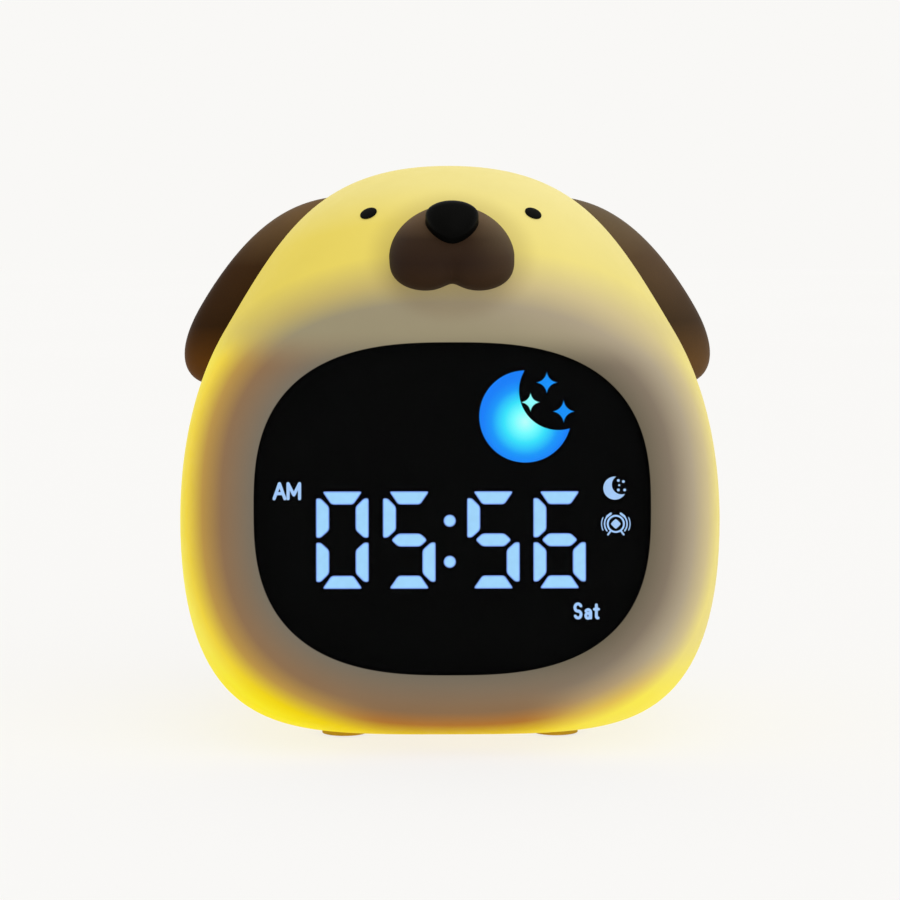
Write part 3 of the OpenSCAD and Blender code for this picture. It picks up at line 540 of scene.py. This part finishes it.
def board(name, mask, trace):
    """Solder mask with traces and vias."""
    n = Nodes(name)
    v = n.add("ShaderNodeTexVoronoi", distance="MANHATTAN", feature="F1")
    n.t.links.new(n.coord, v.inputs["Vector"])
    v.inputs["Scale"].default_value = 420
    line = n.step(v.outputs["Distance"], 0.42, 0.5)
    dots = n.step(v.outputs["Distance"], 0.12, 0.08)
    n.feed("Base Color", n.mix(dots, n.mix(line, mask, trace), lin(200, 190, 150)))
    n.feed("Roughness", 0.38)
    n.bump(line, 0.2, 0.0001)
    return n.mat


KEYS = ("mode", "up", "down", "light", "sound")
milk = milky()
M = {
    "smoke": smoked(),
    "film": surface("black_film", grey(9), 0.7, 0.2, 300, 3000, 0.05, spec=0.02),
    "white": surface("white_moulding", lin(226, 225, 220), 0.5, 0.03, 200, 2200, 0.10),
    "guide": surface("frosted_guide", lin(196, 208, 226), 0.35, 0.05, 500, 2600, 0.08),
    "pcb": board("green_board", lin(20, 78, 45), lin(34, 104, 62)),
    "pcb_white": board("white_board", lin(222, 224, 220), lin(208, 210, 204)),
    "led": surface("led_phosphor", lin(240, 222, 120), 0.4, 0.08, 900, 2600, 0.06),
    "black": surface("black_moulding", lin(22, 22, 23), 0.48, 0.15, 260, 2400, 0.12),
    "steel": surface("plated_steel", lin(176, 176, 178), 0.3, 0.07, 300, 2600, 0.06,
                     metallic=1.0, stretch=(1, 1, 5)),
    "chip": surface("chip_epoxy", lin(28, 28, 30), 0.55, 0.2, 500, 3000, 0.15),
    "cone": surface("cone_film", lin(70, 70, 72), 0.6, 0.12, 300, 2400, 0.15),
    "cell": surface("cell_foil", lin(116, 126, 146), 0.32, 0.06, 120, 1600, 0.2, metallic=0.5),
    "red": surface("red_insulation", lin(170, 30, 24), 0.45, 0.06, 300, 2000, 0.06),
    "wire": surface("black_insulation", lin(26, 26, 27), 0.45, 0.1, 300, 2000, 0.06),
    "ribbon": surface("flat_cable", lin(214, 214, 208), 0.45, 0.05, 500, 1500, 0.1,
                      stretch=(12, 1, 1)),
    "foot": surface("foot_rubber", lin(206, 168, 70), 0.72, 0.08, 300, 2600, 0.2, spec=0.1),
    "button": surface("button_rubber", lin(150, 150, 147), 0.6, 0.05, 240, 2600, 0.16,
                      spec=0.3),
    "gloss": surface("black_gloss", lin(7, 7, 6), 0.42, 0.15, 200, 2200, 0.05, spec=0.02),
    "mark": surface("grey_print", lin(96, 96, 98), 0.6, 0.08, 400, 2600, 0.06, spec=0.3),
}
BY_NODE = {
    "smoke": ["display_lens"],
    "film": ["lens_adhesive", "display_mask"],
    "white": ["reflector_block", "board_spacers", "rear_panel", "wire_headers",
              "battery_tray"],
    "guide": ["digit_guides", "picture_guides"],
    "pcb": ["display_board", "main_board"],
    "pcb_white": ["night_light_board"],
    "led": ["display_leds", "night_light_leds"],
    "black": ["board_header", "power_switch_knob", "usb_tongue", "speaker_frame"]
    + [key + "_plunger" for key in KEYS],
    "steel": ["display_screws", "panel_screws", "board_screws", "tap_sensor",
              "tact_switches", "power_switch_body", "usb_shell", "speaker_magnet",
              "speaker_clamp", "speaker_screws", "tray_screws", "case_screws",
              "ear_lock_washers"],
    "chip": ["main_chips"],
    "cone": ["speaker_cone"],
    "cell": ["battery_cell"],
    "red": ["battery_leads"],
    "wire": ["speaker_leads"],
    "ribbon": ["display_ribbon"],
    "foot": ["rubber_feet"],
    "button": [key + "_button" for key in KEYS],
    "gloss": ["nose", "eye_left", "eye_right"],
}
for key, names in BY_NODE.items():
    for name in names:
        nodes[name].data.materials.clear()
        nodes[name].data.materials.append(M[key])

# ---- housing -------------------------------------------------------------------
NV, NU = 104, 96
PARTING_GROOVE = 0.16
FOOT_X, FOOT_Y, FOOT_R = 21, 16, 4.6
WELL_SPOTS = [(s * x, z) for s in (-1, 1) for x, z in ((44.5, 26), (22, 98))]
WELL_CUT, WELL_IN, WELL_OUT, SCREW_R = 2.8, 2.74, 4.2, 1.5
WELL_START, WELL_SEAT = 0.4, 6


def skin(side, name):
    """One half of the housing: outer and inner surface, joined by the rim at y = 0."""
    v = 3 * np.arange(NV) / NV
    u = np.linspace(0, math.pi, NU + 1)
    v, u = np.meshgrid(v, u, indexing="ij")
    outer = shell_point(side, v, u)
    normal = inward(side, v, u)
    inner = outer + WALL * normal
    inner[0] = outer[0] + np.array([0, 0, WALL])
    inner[1:, 0, 1] = 0
    inner[1:, -1, 1] = 0
    for i in (0, -1):
        outer[:, i] += PARTING_GROOVE * normal[:, i]
        outer[:, i, 1] = 0
    crowns = [[[0, 0, TALL]], [[0, 0, TALL - WALL]]]
    pts = np.concatenate([outer.reshape(-1, 3), crowns[0], inner.reshape(-1, 3), crowns[1]])
    m = NU + 1
    last, top = (NV - 1) * m, NV * m
    inside = top + 1
    faces = []
    for a in (0, inside):
        for j in range(NV - 1):
            for i in range(NU):
                q = a + j * m + i
                faces.append((q, q + 1, q + m + 1, q + m))
        for i in range(NU):
            faces.append((a + last + i, a + last + i + 1, a + top))
        faces.append(tuple(a + i for i in range(m)))
    for i in (0, NU):
        for j in range(NV - 1):
            q = j * m + i
            faces.append((q, q + m, inside + q + m, inside + q))
        faces.append((last + i, top, inside + top, inside + last + i))
    faces.append((0, inside, inside + NU, NU))
    return make(name, pts, faces, milk, slot="milky_housing")


def panel_outline(a, b, count=160):
    return oval(a, b, 3, count) + np.array([0, PANEL_Z])


def foot_pockets(side):
    return [cutter(*rings_mesh([circle_z(x, side * FOOT_Y, FOOT_R, z) for z in (-1, 2.4)]))
            for x in (-FOOT_X, FOOT_X)]


front = skin(FRONT, "housing_front")
cut(front, [cutter(*plate(window(0.1), -8, 9))] + foot_pockets(FRONT))
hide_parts("front_shell")

rear = skin(REAR, "housing_rear")
holes = [cutter(*plate(panel_outline(PANEL_A, PANEL_B, 200), 36, 60, on_back))]
holes += [cutter(*rings_mesh([circle_y(x, z, WELL_CUT, y) for y in (4, 70)]))
          for x, z in WELL_SPOTS]
cut(rear, holes + foot_pockets(REAR))
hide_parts("rear_shell")


def lip(name, outer, inner, near, deep, place=on_face):
    """Flat frame under the rim of an opening."""
    corners = ((outer, near), (outer, deep), (inner, deep), (inner, near))
    rings = [ring_at(outline, level, place) for outline, level in corners]
    make(name, *loop_mesh(rings), milk, slot="milky_housing")


lip("window_lip", window(2.4, 160), window(-3, 160), -2.35, -4.3)
lip("panel_lip", panel_outline(34.4, 29.4), panel_outline(27, 22), 40.4, 38.4, on_back)


def well_liner(x, z):
    """Wall of a deep screw well, ending inside the housing's wall."""
    def mouth(r, under):
        c, s = r * np.cos(around(40)), r * np.sin(around(40))
        return circle_y(x, z, r, depth_at(REAR, x + c, z + s) - under)

    seat = [circle_y(x, z, r, y) for r, y in (
        (WELL_OUT, WELL_START), (SCREW_R, WELL_START), (SCREW_R, WELL_SEAT), (WELL_IN, WELL_SEAT))]
    return loop_mesh([mouth(WELL_OUT, 1.3)] + seat + [mouth(WELL_IN, 0.12)])


make("screw_wells", *joined([well_liner(x, z) for x, z in WELL_SPOTS]), milk,
     slot="milky_housing")

# ---- window --------------------------------------------------------------------
EDGE_R = 0.5
rows = [(-0.02, -1.8), (0.0, -EDGE_R)]
rows += [(-EDGE_R + EDGE_R * math.cos(q), -EDGE_R + EDGE_R * math.sin(q))
         for q in np.radians([18, 36, 54, 72, 90])]
lens = make("window_glass", *rings_mesh([ring_at(window(grow), z) for grow, z in rows]),
            M["smoke"], slot="smoked_window", angle=50)
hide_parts("display_lens")
# black cup behind and around the glass
rows = [(0.06, -2.0), (0.06, -0.4), (0.01, -0.4), (0.01, -1.93)]
film = make("window_mask", *rings_mesh([ring_at(window(grow), z) for grow, z in rows]),
            M["film"], slot="black_film")
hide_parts("display_mask")

# ---- lit shapes ------------------------------------------------------------------
# thin plates between the black cup and the glass, in window coordinates
GLYPH_IN, GLYPH_RIM, GLYPH_OUT = -1.92, -1.88, -1.82


def rounded(poly, r, steps=5):
    """The polygon with each corner turned into a small arc."""
    p = np.asarray(poly, float)
    out = []
    for i in range(len(p)):
        a, b, c = p[i - 1], p[i], p[(i + 1) % len(p)]
        u, w = unit(a - b), unit(c - b)
        k = min(r, 0.45 * np.linalg.norm(a - b), 0.45 * np.linalg.norm(c - b))
        for s in np.linspace(0, 1, steps):
            q = (1 - s) ** 2 * (b + k * u) + 2 * s * (1 - s) * b + s * s * (b + k * w)
            out.append(q)
    return np.array(out)


def shrunk(outline, by):
    """The outline moved inwards along its normals."""
    p = np.asarray(outline)
    area = np.sum(p[:, 0] * np.roll(p[:, 1], -1) - np.roll(p[:, 0], -1) * p[:, 1])
    d = unit(np.roll(p, -1, 0) - np.roll(p, 1, 0))
    return p + by * math.copysign(1, area) * np.stack([-d[:, 1], d[:, 0]], -1)


def dot(x, y, r, count=40):
    return oval(r, r, 2, count) + np.array([x, y])


def crescent(c, r, c2, r2, count=60):
    """The disc at c without the disc at c2."""
    c, c2 = np.array(c, float), np.array(c2, float)
    d = np.linalg.norm(c2 - c)
    a = math.atan2(c2[1] - c[1], c2[0] - c[0])
    q = math.acos((d * d + r * r - r2 * r2) / (2 * d * r))
    q2 = math.acos((d * d + r2 * r2 - r * r) / (2 * d * r2))
    t = np.linspace(a + q, a + 2 * math.pi - q, count)
    outer = c + r * np.stack([np.cos(t), np.sin(t)], -1)
    t = np.linspace(a + math.pi + q2, a + math.pi - q2, count)
    return np.concatenate([outer, (c2 + r2 * np.stack([np.cos(t), np.sin(t)], -1))[1:-1]])


def sparkle(x, y, r, count=48, power=3.4):
    """Four-pointed star."""
    c, s = np.cos(around(count)), np.sin(around(count))
    return np.stack([x + r * np.sign(c) * np.abs(c) ** power,
                     y + r * np.sign(s) * np.abs(s) ** power], -1)


def stroke(points, w, closed=False):
    """Thin rounded strokes along a polyline, as outlines."""
    out = []
    pts = [np.array(p, float) for p in points]
    if closed:
        pts.append(pts[0])
    for a, b in zip(pts[:-1], pts[1:]):
        d = unit(b - a)
        n = np.array([-d[1], d[0]])
        cap = lambda at, q0: [at + w / 2 * (math.cos(q) * d + math.sin(q) * n)
                              for q in np.linspace(q0, q0 - math.pi, 7)]
        out.append(np.array(cap(b, math.pi / 2) + cap(a, -math.pi / 2)))
    return out


def arc(x, y, r, a0, a1, n=12):
    """Points of an arc, angles in degrees."""
    q = np.radians(np.linspace(a0, a1, n))
    return [(x + r * math.cos(k), y + r * math.sin(k)) for k in q]


def glyphs(name, outlines, mat, low=GLYPH_IN, high=GLYPH_OUT):
    parts = [plate(outline, low, high) for outline in outlines]
    return make(name, *joined(parts), mat, slot="light_guide")


DIGIT_W, DIGIT_H, STROKE = 10.0, 18.5, 2.5
DIGIT_Y, DIGIT_X = -15.2, (-25.9, -13.2, 2.8, 15.4)


def numeral_strokes():
    """The seven strokes a..g of a numeral, with cut ends."""
    w, h, t, m = DIGIT_W, DIGIT_H, STROKE, DIGIT_H / 2
    top = [[1.2, h], [w - 1.2, h], [w - 2.9, h - t], [2.9, h - t]]
    left = [[0, h - 1.3], [0.9, h - 1.3], [t, h - 2.9], [t, m + 1.9], [0.9, m + 0.45],
            [0, m + 0.45]]
    mid = [[1.55, m], [2.9, m + t / 2], [w - 2.9, m + t / 2], [w - 1.55, m],
           [w - 2.9, m - t / 2], [2.9, m - t / 2]]
    flip_x = lambda s: [[w - x, y] for x, y in s]
    flip_y = lambda s: [[x, h - y] for x, y in s]
    return {"a": top, "f": left, "b": flip_x(left), "d": flip_y(top), "e": flip_y(left),
            "c": flip_y(flip_x(left)), "g": mid}


LIT = {"0": "abcdef", "5": "afgcd", "6": "afgecd"}
lit = [rounded(np.array(points) + np.array([x0, DIGIT_Y]), 0.55)
       for x0, digit in zip(DIGIT_X, "0556")
       for key, points in numeral_strokes().items() if key in LIT[digit]]
lit += [dot(-0.5, y, 1.15) for y in (-2.3, -10.1)]
numerals = glyphs("lit_numerals", lit, glowing("numeral_rim_glow", lin(122, 158, 240)),
                  high=GLYPH_RIM)
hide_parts("digit_guides")
glyphs("numeral_cores", [shrunk(outline, 0.2) for outline in lit],
       glowing("numeral_glow", lin(161, 214, 252)), low=GLYPH_RIM)

moon = glyphs("lit_moon", [crescent((13.9, 17.5), 8.75, (20.2, 22.4), 7.5)], moon_fill())
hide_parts("picture_guides")
glyphs("lit_stars", [sparkle(18, 23.95, 2.1), sparkle(21.2, 18.45, 2.2)],
       glowing("star_glow", lin(26, 145, 249)))
glyphs("lit_star_pale", [sparkle(14.9, 20.2, 1.85)],
       glowing("star_glow_pale", lin(142, 250, 251)))

# each letter: its width and its lines, for a height of 1
LETTERS = {
    "A": (0.86, [[(0, 0), (0.43, 1), (0.86, 0)], [(0.17, 0.34), (0.69, 0.34)]]),
    "M": (0.92, [[(0, 0), (0, 1), (0.46, 0.25), (0.92, 1), (0.92, 0)]]),
    "S": (0.66, [arc(0.34, 0.74, 0.26, 25, 270) + arc(0.34, 0.25, 0.25, 90, -155)]),
    "a": (0.52, [arc(0.26, 0.38, 0.21, 150, 0, 8) + [(0.47, 0)],
                 arc(0.24, 0.16, 0.18, 0, 360, 14)]),
    "t": (0.36, [[(0.16, 0.92), (0.16, 0.12)] + arc(0.27, 0.11, 0.11, 180, 290, 5),
                 [(0, 0.62), (0.34, 0.62)]]),
    "O": (0.8, [[(0.4 + 0.4 * math.sin(k), 0.5 + 0.5 * math.cos(k))
                 for k in np.linspace(0, 2 * math.pi, 21)]]),
    "N": (0.72, [[(0, 0), (0, 1), (0.72, 0), (0.72, 1)]]),
    "F": (0.58, [[(0, 0), (0, 1), (0.58, 1)], [(0, 0.52), (0.48, 0.52)]]),
}


def word(text, x, y, h, w, gap=0.28, slim=1.0):
    """Outlines of a word of height h and line width w that starts at x, y."""
    out = []
    for ch in text:
        width, lines = LETTERS[ch]
        for line in lines:
            out += stroke([(x + slim * h * px, y + h * py) for px, py in line], w)
        x += slim * h * (width + gap)
    return out


small = glowing("word_glow", lin(166, 202, 246))
words = word("AM", -33.84, 1.95, 2.85, 0.6, 0.26, 0.83)
words += word("Sat", 23.1, -20.85, 2.7, 0.54, 0.26, 0.85)
glyphs("lit_words", words, small)

# sleep icon: crescent and dots
icons = [crescent((30.93, 3.85), 2.2, (32.2, 4.5), 1.85, 30)]
icons += [dot(x, y, 0.27, 12) for x, y in ((31.6, 5.3), (32.55, 5.1), (31.6, 3.5), (32.8, 3.5))]
icons.append(dot(31.75, 4.4, 0.2, 12))
# alarm icon: dial, and on either side two sound arcs, a bell and a foot
cx, cy = 31.1, -2.95
icons += stroke(arc(cx, cy, 1.55, 0, 345, 24), 0.34, True)
for s, mid in ((-1, 180), (1, 0)):
    icons += stroke(arc(cx, cy, 2.15, mid - 38, mid + 38, 7), 0.27)
    icons += stroke(arc(cx, cy, 2.72, mid - 26, mid + 26, 6), 0.18)
    icons += stroke([(cx + s * 0.95, cy + 1.95), (cx + s * 1.65, cy + 1.4)], 0.42)
    icons += stroke([(cx + s * 1.05, cy - 1.45), (cx + s * 1.5, cy - 2.05)], 0.34)
icons.append(sparkle(cx, cy, 0.92, 24, 1.7))
glyphs("lit_icons", icons, small)

# ---- ears ------------------------------------------------------------------------
EAR_Z, EAR_UP, EAR_DOWN = 87.5, 18.0, 20.0
EAR_TOP, EAR_LONG, EAR_CORNER = 105.5, 38.3, 0.85
EAR_Y, EAR_LEAN, EAR_NARROW, EAR_WIDEN = 13.6, 1.2, 5, 8.2
EAR_LIFT, EAR_EDGE, EAR_BULGE = 0.2, 0.6, 6.65


def ear_mesh(sign):
    """A drop-shaped pad on the side of the housing, narrow at the top."""
    q = around(132)
    c = np.sign(np.cos(q)) * np.abs(np.cos(q)) ** EAR_CORNER
    s = np.sign(np.sin(q)) * np.abs(np.sin(q)) ** EAR_CORNER

    def ring(rho, lift, trim=1.0):
        z = EAR_Z + trim * rho * s * np.where(s > 0, EAR_UP, EAR_DOWN)
        k = (EAR_TOP - z) / EAR_LONG
        half_width = EAR_NARROW + EAR_WIDEN * np.maximum(k, 0) ** 0.7
        y = EAR_Y + EAR_LEAN * k + trim * rho * c * half_width
        k = np.clip(k, 0, 1)
        bulge = np.sin(math.pi * k**0.62 * 0.6) ** 0.9 * max(1 - rho**6, 0) ** 0.5
        p = side_point(y, z, EAR_LIFT + lift * (EAR_EDGE + EAR_BULGE * bulge))
        p[:, 0] *= sign
        return p

    outer = [ring(r, 1) for r in np.sin(np.linspace(0.02, math.pi / 2, 34))]
    edge = [ring(1, k) for k in (0.66, 0.33)]
    back = [ring(1, 0, t) for t in (0.995, 0.9, 0.6, 0.3, 0.02)]
    return rings_mesh(outer + edge + back)


# ear tones by height are painted light and shade: a painted glow at the tip, painted shade in the
# middle and a painted lighter top; the right ear is painted paler, as if lit from the right
ear_mat = silicone(
    "ear_silicone",
    [(72, 91, 54, 12), (80, 49, 29, 9), (92, 58, 37, 18), (104, 110, 86, 59)],
    [(72, 101, 73, 44), (81, 68, 52, 37), (94, 91, 72, 54), (104, 111, 95, 73)],
    (66, 106), (-20, 20))
for name, sign in (("ear_left", -1), ("ear_right", 1)):
    ear = make(name + "_soft", *ear_mesh(sign), ear_mat, slot="ear_rubber", angle=60)
    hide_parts(name)

# ---- muzzle, nose and eyes --------------------------------------------------------
def muzzle_mesh():
    """A domed pad on the front of the housing, with a cleft between its two lower lobes."""
    q = around(160)
    c, s = np.cos(q), np.sin(q)
    up = s > 0
    n = np.where(up, 1.94, 2.76)
    h = np.where(up, MUZZLE_UP, MUZZLE_DOWN)
    edge_r = ((np.abs(c) / MUZZLE_HALF) ** n + (np.abs(s) / h) ** n) ** (-1 / n)
    edge_r = edge_r - np.where(up, 0, MUZZLE_CLEFT * np.exp(-((c * 1.95) ** 2)))

    def ring(rho, lift):
        x, z = rho * edge_r * c, MUZZLE_Z + rho * edge_r * s
        low = np.clip((96.5 - z) / 4, 0, 1)
        low = low * low * (3 - 2 * low)
        groove = 1 - 0.17 * low * np.exp(-((x / 1.7) ** 2))
        depth = 0.7 + 6.45 * max(1 - rho**4.5, 0) ** 0.5 * groove
        return np.stack([x, -depth_at(FRONT, x, z) - 0.15 - lift * depth, z], -1)

    outer = [ring(r, 1) for r in np.sin(np.linspace(0.03, math.pi / 2, 44))]
    back = [ring(r, 0) for r in (1, 0.8, 0.5, 0.2, 0.02)]
    return rings_mesh(outer + [ring(1, 0.5)] + back)


NOSE_Y, NOSE_Z, NOSE_TILT = -36.7, 103.15, math.radians(48)
NOSE_HALF, NOSE_UP, NOSE_DOWN = 5.06, 2.95, 6.45
NOSE_BASE, NOSE_SHOULDER, NOSE_DOME = -3.0, -0.24, 2.64


def on_nose(x, y, z):
    """Nose coordinates (right, up, out) to the row frame."""
    s, c = math.sin(NOSE_TILT), math.cos(NOSE_TILT)
    x, y, z = np.broadcast_arrays(np.asarray(x, float), y, z)
    return np.stack([x, NOSE_Y + y * s - z * c, NOSE_Z + y * c + z * s], -1)


def nose_outline(rho=1.0, grow=0.0):
    c, s = np.cos(around(96)), np.sin(around(96))
    n = np.where(s > 0, 2.0, 1.78)
    h = np.where(s > 0, NOSE_UP, NOSE_DOWN)
    r = ((np.abs(c) / NOSE_HALF) ** n + (np.abs(s) / h) ** n) ** (-1 / n) + grow
    return np.stack([rho * r * c, rho * r * s], -1)


# muzzle tones by height are painted light and shade: painted shade in the lower part, a painted
# lighter top under the nose and a right side painted paler, as if lit from the right
muzzle_mat = silicone(
    "muzzle_silicone",
    [(88, 54, 36, 18), (94, 42, 27, 17), (98.5, 50, 34, 21), (102.5, 94, 72, 49)],
    [(88, 54, 36, 17), (95, 74, 57, 41), (102, 113, 96, 70)],
    (86, 104), (2, 15))
muzzle = make("muzzle_soft", *muzzle_mesh(), muzzle_mat, slot="muzzle_rubber", angle=60)
seat = plate(nose_outline(grow=0.04), NOSE_BASE - 0.05, 12, on_nose)
cut(muzzle, [cutter(*seat)], angle=50)
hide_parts("muzzle")
rings = [ring_at(nose_outline(), z, on_nose) for z in (NOSE_BASE, -1.2)]
for r in np.cos(np.linspace(0, math.pi / 2 - 0.03, 30)):
    dome = NOSE_SHOULDER + NOSE_DOME * max(1 - r**2.3, 0) ** 0.5
    rings.append(ring_at(nose_outline(r), dome, on_nose))
nose = make("nose_gloss", *rings_mesh(rings), M["gloss"], slot="nose_gloss", angle=60)
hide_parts("nose")

EYE_X, EYE_Z, EYE_R, EYE_LIFT, EYE_EDGE, EYE_DOME = 15.9, 103.1, 1.7, 0.12, 0.1, 0.24
e = 0.05
slope_x = (depth_at(FRONT, EYE_X + e, EYE_Z) - depth_at(FRONT, EYE_X - e, EYE_Z)) / (2 * e)
slope_z = (depth_at(FRONT, EYE_X, EYE_Z + e) - depth_at(FRONT, EYE_X, EYE_Z - e)) / (2 * e)
levels = [(EYE_R, EYE_LIFT)]
levels += [(EYE_R * math.cos(k), EYE_LIFT + EYE_EDGE + EYE_DOME * math.sin(k))
           for k in np.linspace(0, math.pi / 2 - 0.04, 12)]
for name, s in (("eye_left", -1), ("eye_right", 1)):
    out = unit(np.array([-s * slope_x, -1.0, -slope_z]))
    at = np.array([s * EYE_X, -float(depth_at(FRONT, EYE_X, EYE_Z)), EYE_Z])
    a = unit(np.cross(out, [0, 0, 1]))
    b = np.cross(out, a)
    t = around(48)[:, None]
    rings = [at + r * np.cos(t) * a + r * np.sin(t) * b + h * out for r, h in levels]
    eye = make(name + "_bead", *rings_mesh(rings), M["gloss"], slot="nose_gloss", angle=60)
    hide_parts(name)

# ---- rear controls ------------------------------------------------------------------
PANEL_Y, PRINT, BUTTON_Z, BUTTON_STEP = 42.4, 0.03, 37.0, 9.5
ray = lambda q: stroke([(r * math.cos(q), r * math.sin(q)) for r in (1.05, 1.4)], 0.24)
level_bar = stroke([(-1.0, 0), (1.0, 0)], 0.42)
SYMBOLS = {
    "mode": [o for y in (0.7, 0, -0.7) for o in stroke([(-0.9, y), (0.9, y)], 0.36)],
    "up": level_bar + stroke([(0, -1.0), (0, 1.0)], 0.42),
    "down": level_bar,
    "light": stroke(arc(0, 0, 0.62, 0, 345, 16), 0.3, True)
    + [o for k in range(8) for o in ray(k * math.pi / 4)],
    "sound": stroke([(0.2, -0.7), (0.2, 0.95), (0.85, 0.55)], 0.3)
    + [oval(0.52, 0.4, 2, 12) + np.array([-0.25, -0.75])],
}


def printed(name, outlines, x, z, y0, y1, body, slot):
    """Marks to be read from behind, as thin plates."""
    shapes = [np.asarray(o) * np.array([-1, 1]) + np.array([x, z]) for o in outlines]
    parts = [plate(o, y0, y1, on_back) for o in shapes]
    make(name, *joined(parts), M["mark"], body=body, slot=slot)


# radius and depth of a button's cap, from its collar to the dish in its face
cap_rows = [(4.1, 39.4), (4.1, 40.3), (4.0, 40.4), (3.2, 40.4), (3.2, 42.55)]
cap_rows += [(2.65 + 0.55 * math.cos(q), 42.55 + 0.5 * math.sin(q))
             for q in np.radians([20, 40, 60, 80, 90])]
cap_rows += [(2.2, 42.98), (1.2, 42.86), (0.3, 42.82)]
for i, key in enumerate(KEYS):
    x0 = (i - 2) * BUTTON_STEP
    rings = [circle_y(x0, BUTTON_Z, r, y, 64) for r, y in cap_rows]
    cap = make(key + "_cap", *rings_mesh(rings), M["button"], body=key + "_key",
               slot="button_rubber", angle=40)
    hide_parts(key + "_button")
    printed(key + "_symbol", SYMBOLS[key], x0, BUTTON_Z, 42.7, 42.95, key + "_key",
            "button_rubber")

words = word("ON", 7.2, 22.6, 1.5, 0.26) + word("OFF", 10.6, 22.6, 1.5, 0.26)
printed("switch_words", words, 0, 0, PANEL_Y - 0.01, PANEL_Y + PRINT, "housing",
        "white_plastic")
PAD_HALF, PAD_LOW, PAD_HIGH = 0.14, 27.351, 27.39
pads = []
for k in range(6):
    left, right = k - 2.5 - PAD_HALF, k - 2.5 + PAD_HALF
    corners = [[left, PAD_LOW], [right, PAD_LOW], [right, PAD_HIGH], [left, PAD_HIGH]]
    pads.append(plate(corners, 37.5, 40.6, on_back))
gold = surface("gold_contacts", lin(200, 160, 80), 0.28, 0.08, 900, 3000, 0.04, metallic=1.0)
make("socket_contacts", *joined(pads), gold, slot="steel")

# ---- floor, light and camera ----------------------------------------------------------
PALE = lin(249, 248, 246)
# share of the floor's look that is its own even glow; the rest of it takes the shadow
FLOOR_GLOW = 0.78


def looked_at(tree):
    """1 for what the camera sees, directly, in a gloss or through glass, and 0 for light."""
    path = tree.nodes.new("ShaderNodeLightPath")
    seen = path.outputs["Is Camera Ray"]
    for kind in ("Is Glossy Ray", "Is Transmission Ray"):
        more = tree.nodes.new("ShaderNodeMath")
        more.operation = "MAXIMUM"
        tree.links.new(seen, more.inputs[0])
        tree.links.new(path.outputs[kind], more.inputs[1])
        seen = more.outputs[0]
    return seen


bpy.ops.mesh.primitive_plane_add(size=6, location=(0, 0, -0.0002))
floor = bpy.context.object
floor.name = "floor"
n = Nodes("pale_floor")
n.feed("Roughness", 0.9)
n.feed("Specular IOR Level", 0.0)
n.feed("Base Color", n.ramp(n.noise(3, 2), [(0.3, lin(246, 245, 243)), (0.7, PALE)]))
glow = n.add("ShaderNodeEmission")
glow.inputs["Color"].default_value = PALE
glow.inputs["Strength"].default_value = 1.03
mixer = n.add("ShaderNodeMixShader")
n.put(mixer.inputs[0], n.math("MULTIPLY", looked_at(n.t), FLOOR_GLOW))
n.put(mixer.inputs[1], n.bsdf.outputs[0])
n.put(mixer.inputs[2], glow.outputs[0])
n.put(n.out.inputs["Surface"], mixer.outputs[0])
floor.data.materials.append(n.mat)

world = bpy.data.worlds.new("studio")
bpy.context.scene.world = world
world.use_nodes = True
tree = world.node_tree
light = tree.nodes["Background"]
light.inputs["Color"].default_value = (1, 1, 1, 1)
light.inputs["Strength"].default_value = 0.66
wall = tree.nodes.new("ShaderNodeBackground")
wall.inputs["Color"].default_value = PALE
choose = tree.nodes.new("ShaderNodeMixShader")
tree.links.new(looked_at(tree), choose.inputs[0])
tree.links.new(light.outputs[0], choose.inputs[1])
tree.links.new(wall.outputs[0], choose.inputs[2])
tree.links.new(choose.outputs[0], tree.nodes["World Output"].inputs["Surface"])


def lamp(name, direction, strength, angle):
    """A distant lamp shining along the direction."""
    d = bpy.data.lights.new(name, "SUN")
    d.energy, d.angle = strength, math.radians(angle)
    o = bpy.data.objects.new(name, d)
    bpy.context.scene.collection.objects.link(o)
    o.rotation_euler = Vector(direction).to_track_quat("-Z", "Y").to_euler()


lamp("key", (-0.45, 0.75, -0.75), 0.85, 70)
lamp("top", (0.2, -0.15, -1.0), 0.3, 90)

# the photo: 900 px wide, 4.918 px per mm at the clock, taken from 600 mm away
PHOTO, SCALE, AWAY = 900, 4.918, 600
AZIMUTH, ELEVATION = math.radians(-1), math.radians(5)
cam = bpy.data.cameras.new("camera")
cam.sensor_width = 36
cam.angle = 2 * math.atan(PHOTO / 2 / SCALE / AWAY)
cam.shift_x, cam.shift_y = 0.0015, -2.55 * SCALE / PHOTO
cam.clip_start, cam.clip_end = 0.01, 20
camera = bpy.data.objects.new("camera", cam)
bpy.context.scene.collection.objects.link(camera)
aim = Vector((0, 0, 0.0575))
towards = Vector((math.sin(AZIMUTH) * math.cos(ELEVATION),
                  -math.cos(AZIMUTH) * math.cos(ELEVATION), math.sin(ELEVATION)))
camera.location = aim + AWAY * MM * towards
camera.rotation_euler = (aim - camera.location).to_track_quat("-Z", "Y").to_euler()
bpy.context.scene.camera = camera
bpy.context.scene.view_settings.view_transform = "Standard"
